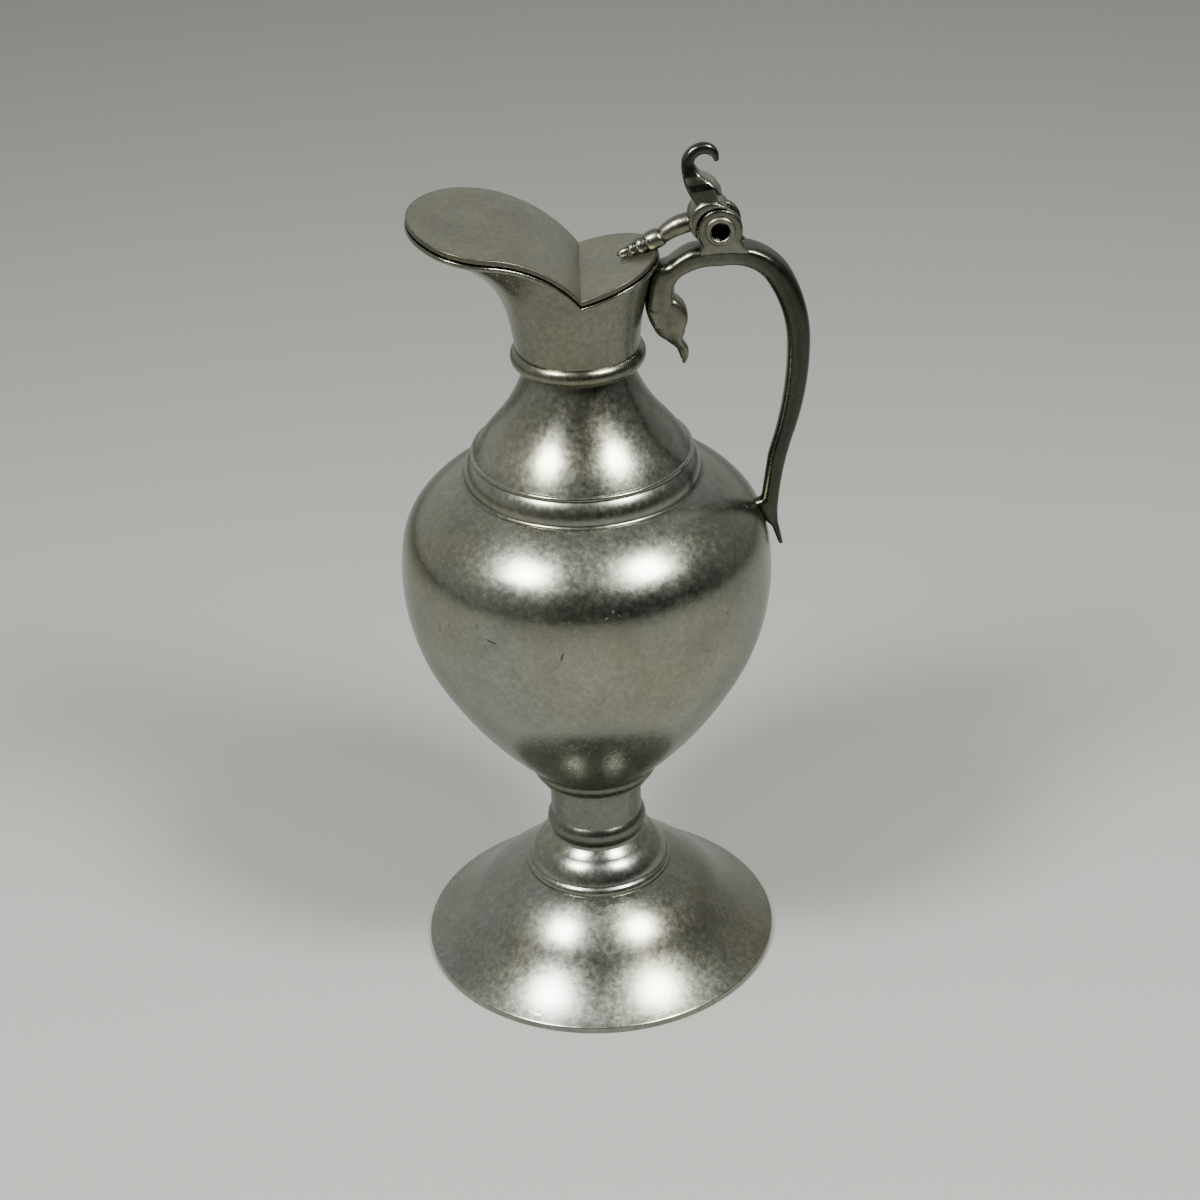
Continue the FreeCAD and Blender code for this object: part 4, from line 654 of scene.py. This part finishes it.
pin_corners = [(0, HOLE_END), (PIN_HOLE, HOLE_END), (PIN_HOLE, -5.5), (3.65, -6.3, -0.3), (4.7, -5.2, -0.45),
               (PIN_RADIUS, -4.9), (PIN_RADIUS, 0)]
pin_half, pin_bend = spread(soften(trace(pin_corners), 0.14), 100)
pin_line = np.vstack([pin_half, (pin_half * MIRROR)[-2::-1]])
ragged = 1 + 0.06 * np.sin(3 * SWEEP + 0.6) + 0.05 * np.sin(7 * SWEEP + 2.0) + 0.03 * np.sin(11 * SWEEP)
in_bore = (pin_line[:, 0] < PIN_HOLE + BORE_MARGIN) & (np.abs(pin_line[:, 1]) > -HOLE_END - BORE_MARGIN)
in_bore = in_bore[:, None]
pin_radius = pin_line[:, :1] * np.where(in_bore, ragged, 1)
# Points inside the bore carry a low ridge value: painted shade in the hole.
pin_ridge = np.where(in_bore, BORE_SHADE, np.concatenate([-pin_bend, -pin_bend[-2::-1]])[:, None])
pin = make_piece("hinge_pin", "vessel",
                 [(round_hinge(pin_radius, pin_line[:, 1]), pin_ridge, False, True)])

# %% [markdown]
# The lid's eye is a bulb that wraps the two handle eyes from the spout's side, with a tongue between
# them. The bulb is a strap again, between its own round back and the hollow that clears the handle's
# eyes; a narrower web joins it to the tongue, which goes round the pin.

# %% Lid eye
BULB = np.array([41.2, 266.0])
BULB_RADIUS, HOLLOW_RADIUS, BULB_WIDTH = 6.7, 7.15, 5.3
WEB_RADIUS, WEB_HOLLOW = 5.4, 4.6
TONGUE_BORE, TONGUE_RADIUS, TONGUE_DEPTH = 2.95, 5.75, 2.0


def arc_about(centre, radius, first, last, count):
    """Points on a circle from one angle to another, in degrees."""
    angle = np.radians(np.linspace(first, last, count))
    return centre + radius * np.stack([np.cos(angle), np.sin(angle)], axis=1)


bulb_back = arc_about(BULB, BULB_RADIUS, 34.2, 239.4, 90)
bulb_hollow = arc_about(HINGE, HOLLOW_RADIUS, 71, 202.7, 90)
bulb_shell = strap(bulb_back, bulb_hollow, BULB_WIDTH, 2.8, inner_power=5.5)
web_back = arc_about(BULB, WEB_RADIUS, 0, 270, 60)
web_shell = strap(web_back, arc_about(HINGE, WEB_HOLLOW, 50, 222, 60), TONGUE_DEPTH, 8)
tongue_corners = [(TONGUE_BORE, -TONGUE_DEPTH), (TONGUE_RADIUS, -TONGUE_DEPTH),
                  (TONGUE_RADIUS, TONGUE_DEPTH), (TONGUE_BORE, TONGUE_DEPTH)]
tongue_line, tongue_bend = spread(soften(trace(tongue_corners), 0.2), 40)
tongue_shell = (round_hinge(tongue_line[:, :1], tongue_line[:, 1]), tongue_bend[:, None], True, True)
knuckle = make_piece("lid_knuckle", "lid_leaf", [bulb_shell, web_shell, tongue_shell])

# %% [markdown]
# The arm runs from the bulb down to the lid and ends in a string of turned beads. It is a round profile
# carried along a bent path: at each step along the path the profile gives a radius, and the ring there
# stands square to the path. Its underside is pressed flat where it lies on the lid.

# %% Lid arm
ELBOW_POINTS, STRING_POINTS = 60, 170
STRING_SLOPE, STRING_LENGTH = math.radians(22.6), 15.3
LID_CLEARANCE, FLAT_REACH = 0.01, REAR_REACH + 1.5
RING = np.linspace(0, 2 * np.pi, 64, endpoint=False)

elbow = even(trace([(37.2, 264.5), (27.0, 260.1, -1.0)]), ELBOW_POINTS)
string_heading = np.array([-math.cos(STRING_SLOPE), -math.sin(STRING_SLOPE)])
string = elbow[-1] + np.linspace(0, STRING_LENGTH, STRING_POINTS)[1:, None] * string_heading
arm_path = np.vstack([elbow, string])
arm_length = length_along(arm_path)
root = arm_length[ELBOW_POINTS - 1]
arm_profile = [(0, 3.1), (root * 0.5, 3.1), (root - 0.7, 2.6), (root - 0.05, 2.3), (root + 0.3, 2.8),
               (root + 0.9, 3.0), (root + 4.9, 2.85, 0.2), (root + 5.5, 2.2), (root + 5.9, 2.3),
               (root + 8.4, 2.2, 0.3), (root + 8.8, 1.7), (root + 9.2, 1.8), (root + 10.8, 1.7, 0.2),
               (root + 11.2, 1.3), (root + 11.6, 1.45), (root + 14.4, 1.1, 0.2), (root + 15.2, 0)]
arm_line, arm_bend = spread(soften(trace(arm_profile), 0.2), 200)
arm_step, arm_radius = arm_line[:, 0], arm_line[:, 1:]
arm_x, arm_z = (np.interp(arm_step, arm_length, column)[:, None] for column in arm_path.T)
heading = np.gradient(soften(arm_path, 0.8, 0.1), axis=0)
heading_step = np.linspace(0, arm_length[-1], len(heading))
heading = np.stack([np.interp(arm_step, heading_step, column) for column in heading.T], axis=1)
heading /= np.linalg.norm(heading, axis=1)[:, None]
ring_x = arm_x - heading[:, 1:] * arm_radius * np.cos(RING)
ring_y = arm_radius * np.sin(RING)
ring_z = arm_z + heading[:, :1] * arm_radius * np.cos(RING)
lid_top = rim_height(np.maximum(ring_x, CREASE[0])) + LID_CLEARANCE
ring_z = np.where(ring_x < FLAT_REACH, np.maximum(ring_z, lid_top), ring_z)
arm_grid = np.stack([ring_x, ring_y, ring_z], axis=-1)
arm_start = np.broadcast_to(arm_grid[0].mean(axis=0), (1, len(RING), 3))
arm_ridge = np.concatenate([[0], -arm_bend])[:, None]
arm_shell = (np.concatenate([arm_start, arm_grid]), arm_ridge, False, True)
arm = make_piece("lid_arm", "lid_leaf", [arm_shell])

# %% [markdown]
# Finishes are made of shader nodes. Two short helpers make a node with its settings and links, and
# stretch a value from one span to another, so that the rules further on read like a list.

# %% Shader helpers
def add_node(tree, kind, links=(), **settings):
    """A shader node with its settings, and links into its inputs given as (input, source socket)."""
    node = tree.nodes.new(kind)
    for name, setting in settings.items():
        if hasattr(node, name):
            setattr(node, name, setting)
        else:
            node.inputs[name.replace("_", " ")].default_value = setting
    for target, source in links:
        tree.links.new(source, node.inputs[target])
    return node


def math_node(tree, operation, first, second):
    """Sum or product of two sockets."""
    return add_node(tree, "ShaderNodeMath", [(0, first), (1, second)], operation=operation).outputs[0]


def between_values(tree, source, low, high, to_low, to_high):
    """A value stretched from one span to another, held at the span's ends."""
    spans = {"From_Min": low, "From_Max": high, "To_Min": to_low, "To_Max": to_high}
    return add_node(tree, "ShaderNodeMapRange", [("Value", source)], **spans).outputs["Result"]


def noise(tree, place, scale, detail, roughness):
    """Soft noise of about nought to one, with scale in waves a metre."""
    settings = {"Scale": scale, "Detail": detail, "Roughness": roughness}
    return add_node(tree, "ShaderNodeTexNoise", [("Vector", place)], **settings).outputs["Fac"]


def nick_mask(tree, place, mottle, start, end, width):
    """One in a nick, nought elsewhere. Object coordinates are moved to its middle, turned along it and
    divided by its half length and half width; their distance from nought, made ragged by the mottle,
    gives the mask."""
    start, end = np.array(start), np.array(end)
    along, outward = end - start, (start + end) * (1, 1, 0)
    across = np.cross(outward, along)
    axes = [axis / np.linalg.norm(axis) for axis in (along, across, np.cross(along, across))]
    moved = add_node(tree, "ShaderNodeMapping", [("Vector", place)], vector_type="TEXTURE")
    moved.inputs["Location"].default_value = ((start + end) / 2 * MM).tolist()
    moved.inputs["Rotation"].default_value = Matrix([[axis[i] for axis in axes] for i in range(3)]).to_euler()
    moved.inputs["Scale"].default_value = (np.linalg.norm(along) / 2 * MM, width / 2 * MM, 3 * MM)
    away = add_node(tree, "ShaderNodeVectorMath", [(0, moved.outputs["Vector"])], operation="LENGTH")
    return between_values(tree, math_node(tree, "ADD", away.outputs["Value"], mottle), 1.1, 1.5, 1.0, 0.0)


print("shader helpers ready")

# %% [markdown]
# Pewter is a soft grey metal with a warm, slightly green cast. After years of use it is satin rather than
# mirror-bright: faint clouds of tarnish, specks fine as dust, hair scratches, a few nicks and a dull
# grain that breaks up reflections. Painted pictures could carry all that; noise worked out from object
# coordinates needs no seams or pictures.

# %% Pewter
GRAIN_DEPTH = 0.0001
RIGHT_SHADE_START, RIGHT_SHADE_FULL = 0.046, 0.062
WARM = (1.03, 0.99, 0.84)
HAIR_STRETCH, HAIR_TURN = (9.0, 9.0, 1300.0), (0.35, 0.2, 0.0)


def pewter(name, tone, polish, tarnish, grain, nicks=(), grip=1.0):
    """Metal of one tone. Tarnish sets how strong clouds and specks are, polish the mean roughness, grain
    the depth of the dull surface. A nick is (start, end, width, shade). The last argument, below one,
    darkens the metal beyond the hinge, towards the right, as painted shade."""
    material = bpy.data.materials.new(name)
    material.use_nodes = True
    tree = material.node_tree
    shader = tree.nodes["Principled BSDF"]
    shader.inputs["Metallic"].default_value = 1.0
    place = tree.nodes.new("ShaderNodeTexCoord").outputs["Object"]
    ridge = add_node(tree, "ShaderNodeAttribute", attribute_name="ridge").outputs["Fac"]
    patina, clouds = noise(tree, place, 24.0, 3.0, 0.6), noise(tree, place, 60.0, 6.0, 0.65)
    mottle, dust = noise(tree, place, 520.0, 4.0, 0.7), noise(tree, place, 2600.0, 2.0, 0.6)
    combed = add_node(tree, "ShaderNodeMapping", [("Vector", place)], Scale=HAIR_STRETCH, Rotation=HAIR_TURN)
    hair = noise(tree, combed.outputs["Vector"], 1.0, 3.0, 0.5)

    shades = [
        (mottle, 0.3, 0.7, 1.0 - 0.9 * tarnish, 1.0 + 0.9 * tarnish),
        (dust, 0.3, 0.7, 1.0 - 0.9 * tarnish, 1.0 + 0.9 * tarnish),
        (ridge, -1.0, 0.0, 0.45, 1.0),  # painted shade in grooves
        (ridge, -2.0, -1.0, 0.12, 1.0),  # painted shade in the pin's bore
        (ridge, 0.1, 0.8, 1.0, 1.3),  # wear polish and painted highlight on ridges
        (ridge, 1.0, 2.6, 1.0, 3.0),  # painted reflection on the thumbpiece's pad
        (dust, 0.60, 0.68, 1.0, 0.78),  # dark specks
        (hair, 0.66, 0.74, 1.0, 0.93),  # hair scratches
    ]
    # Painted shade: the metal beyond the hinge, to the right, is darkened.
    if grip != 1.0:
        outward = add_node(tree, "ShaderNodeSeparateXYZ", [("Vector", place)]).outputs["X"]
        shades.append((outward, RIGHT_SHADE_START, RIGHT_SHADE_FULL, 1.0, grip))
    depth = math_node(tree, "ADD", dust, between_values(tree, mottle, 0.0, 1.0, 0.0, 0.4))
    for start, end, width, shade in nicks:
        mask = nick_mask(tree, place, mottle, start, end, width)
        shades.append((mask, 0.0, 1.0, 1.0, shade))
        depth = math_node(tree, "ADD", depth, between_values(tree, mask, 0.0, 1.0, 0.0, -0.6))
    factor = between_values(tree, clouds, 0.3, 0.7, 1.0 - 0.7 * tarnish, 1.0 + 0.7 * tarnish)
    for shade in shades:
        factor = math_node(tree, "MULTIPLY", factor, between_values(tree, *shade))
    share = between_values(tree, patina, 0.35, 0.65, 0.0, 1.0)
    tint = add_node(tree, "ShaderNodeMix", [(0, share)], data_type="RGBA")
    tint.inputs[6].default_value = (*tone, 1.0)
    tint.inputs[7].default_value = (*(warm * value for warm, value in zip(WARM, tone)), 1.0)
    scaled = [(0, tint.outputs[2]), ("Scale", factor)]
    colour = add_node(tree, "ShaderNodeVectorMath", scaled, operation="SCALE")
    tree.links.new(colour.outputs[0], shader.inputs["Base Color"])

    rough = between_values(tree, mottle, 0.25, 0.75, polish - 0.05, polish + 0.06)
    rough = math_node(tree, "ADD", rough, between_values(tree, clouds, 0.3, 0.7, -0.03, 0.03))
    rough = math_node(tree, "ADD", rough, between_values(tree, ridge, 0.1, 0.8, 0.0, -0.06))
    tree.links.new(rough, shader.inputs["Roughness"])
    bump = add_node(tree, "ShaderNodeBump", [("Height", depth)], Strength=grain, Distance=GRAIN_DEPTH)
    tree.links.new(bump.outputs["Normal"], shader.inputs["Normal"])
    return material


print("grain depth", GRAIN_DEPTH, "m")

# %% [markdown]
# The turned body is the brightest; stem, collar and mouth are painted darker as shade. The lid is flat
# and dull, castings are darker again, the handle's right part is painted darker as shade, and the
# thumbpiece is nearly black but for its pad, which is painted brighter as a reflection. The nicks of the
# bowl and foot, dark or freshly bright, lie where the photograph shows them.

# %% Finishes on the pieces
SHADED_PIECES = ("mouth", "neck_bead", "stem", "stem_bead", "bowl_socket")

body_nicks = [
    ((-32.2, -50.1, 150.1), (-28.6, -52.3, 149.3), 0.9, 0.35),
    ((-8.2, -59.1, 149.3), (-9.2, -59.2, 146.1), 0.8, 0.35),
    ((-46.6, -37.4, 147.6), (-46.7, -37.4, 145.2), 1.1, 0.4),
    ((-34.8, -47.9, 154.1), (-34.3, -48.4, 152.6), 0.7, 0.5),
    ((-50.6, -24.6, 163.6), (-50.0, -26.0, 163.6), 0.8, 0.45),
    ((42.7, -41.4, 150.9), (43.3, -40.9, 149.8), 0.8, 0.5),
    ((4.6, -57.8, 160.0), (6.1, -57.4, 160.5), 0.6, 3.6),
    ((7.1, -56.3, 162.6), (7.7, -56.9, 161.1), 0.7, 3.8),
    ((8.9, -56.8, 161.0), (9.6, -57.1, 160.1), 0.6, 3.2),
    ((24.6, -22.5, 23.6), (25.3, -22.5, 23.1), 0.8, 0.4),
    ((-24.1, -52.9, 3.4), (-21.5, -54.1, 3.4), 0.6, 2.2),
    ((2.9, -57.4, 3.9), (5.6, -57.4, 3.8), 0.6, 2.2),
]
satin = pewter("satin_pewter", (0.230, 0.238, 0.210), 0.24, 0.2, 0.18, body_nicks)
# Stem, collar and mouth get a darker copy of the body's pewter, as painted shade.
shaded_finish = pewter("painted_shade_pewter", (0.165, 0.170, 0.146), 0.26, 0.22, 0.2)
flat = pewter("flat_pewter", (0.236, 0.240, 0.196), 0.36, 0.18, 0.2)
cast = pewter("cast_pewter", (0.16, 0.163, 0.138), 0.26, 0.18, 0.4)
# The handle's right part is darkened with painted shade.
right_shaded = pewter("right_shade_pewter", (0.13, 0.133, 0.114), 0.26, 0.18, 0.4, grip=0.40)
dark = pewter("dark_cast_pewter", (0.062, 0.0635, 0.054), 0.24, 0.18, 0.35)
dressed = [(piece, shaded_finish if piece.name.split(".")[0] in SHADED_PIECES else satin) for piece in body_pieces + [mouth]]
dressed += [(piece, flat) for piece in (lid, pin)]
dressed += [(piece, cast) for piece in (leaf, front_eye, rear_eye, knuckle, arm)]
dressed += [(handle, right_shaded), (thumb, dark)]
for piece, finish in dressed:
    piece.data.materials.append(finish)
print("dressed pieces:", len(dressed))

# %% [markdown]
# The pitcher stands on a plain pale floor, a wide sheet of matt paper that is no part of the object.

# %% Floor
FLOOR_EDGE = np.linspace(-3, 3, 3)
PAPER_COLOUR = (0.28, 0.281, 0.263, 1.0)

floor_grid = np.stack([*np.meshgrid(FLOOR_EDGE, FLOOR_EDGE, indexing="ij"), np.zeros((3, 3))], axis=-1)
floor_mesh = bpy.data.meshes.new("floor")
floor_faces = [(0, 3, 4, 1), (1, 4, 5, 2), (3, 6, 7, 4), (4, 7, 8, 5)]
floor_mesh.from_pydata(floor_grid.reshape(-1, 3).tolist(), [], floor_faces)
floor = bpy.data.objects.new("floor", floor_mesh)
bpy.context.collection.objects.link(floor)
paper = bpy.data.materials.new("pale_paper")
paper.use_nodes = True
paper.node_tree.nodes["Principled BSDF"].inputs["Base Color"].default_value = PAPER_COLOUR
paper.node_tree.nodes["Principled BSDF"].inputs["Roughness"].default_value = 0.9
floor_mesh.materials.append(paper)
print("floor", len(floor_mesh.polygons), "faces")

# %% [markdown]
# Two softboxes, one to each side of the camera and well above it, give the paired reflections on neck,
# shoulder and foot. The room round the pitcher is dim, lighter behind it than in front, and darker to the
# right than to the left.

# %% Light
SOFTBOX_SIZE, SOFTBOX_POWER, SOFTBOX_DISTANCE, AIM_HEIGHT = 0.24, 17.0, 0.95, 0.15
SOFTBOX_AZIMUTH, SOFTBOX_RISE = math.radians(51), math.radians(50.5)
ROOM_GLOW, ROOM_LEAN = 0.33, (-0.16, 0.27, 0.06)
ROOM_COLOUR = (1.0, 1.0, 0.98, 1.0)


def softbox(name, side):
    """A square lamp that faces the pitcher. Its axes are the direction away from the pitcher, the level
    direction square to that, and the third one square to both."""
    lamp = bpy.data.lights.new(name, "AREA")
    lamp.size = SOFTBOX_SIZE
    lamp.energy = SOFTBOX_POWER
    holder = bpy.data.objects.new(name, lamp)
    flat_part = math.cos(SOFTBOX_RISE)
    away = np.array([side * math.sin(SOFTBOX_AZIMUTH) * flat_part, -math.cos(SOFTBOX_AZIMUTH) * flat_part,
                     math.sin(SOFTBOX_RISE)])
    holder.location = (SOFTBOX_DISTANCE * away + np.array([0, 0, AIM_HEIGHT])).tolist()
    axis_x = np.cross([0, 0, 1], away)
    axis_x /= np.linalg.norm(axis_x)
    axis_y = np.cross(away, axis_x)
    holder.rotation_euler = Matrix([[axis_x[i], axis_y[i], away[i]] for i in range(3)]).to_euler()
    bpy.context.collection.objects.link(holder)


softbox("softbox_left", -1)
softbox("softbox_right", 1)
world = bpy.data.worlds.new("dim_room")
bpy.context.scene.world = world
world.use_nodes = True
room = world.node_tree
outlook = room.nodes.new("ShaderNodeTexCoord").outputs["Generated"]
lean = add_node(room, "ShaderNodeVectorMath", [(0, outlook)], operation="DOT_PRODUCT")
lean.inputs[1].default_value = ROOM_LEAN
glow = add_node(room, "ShaderNodeMath", [(0, lean.outputs["Value"])], operation="ADD")
glow.inputs[1].default_value = ROOM_GLOW
room.links.new(glow.outputs[0], room.nodes["Background"].inputs["Strength"])
room.nodes["Background"].inputs["Color"].default_value = ROOM_COLOUR
print("softboxes of", SOFTBOX_POWER, "W")
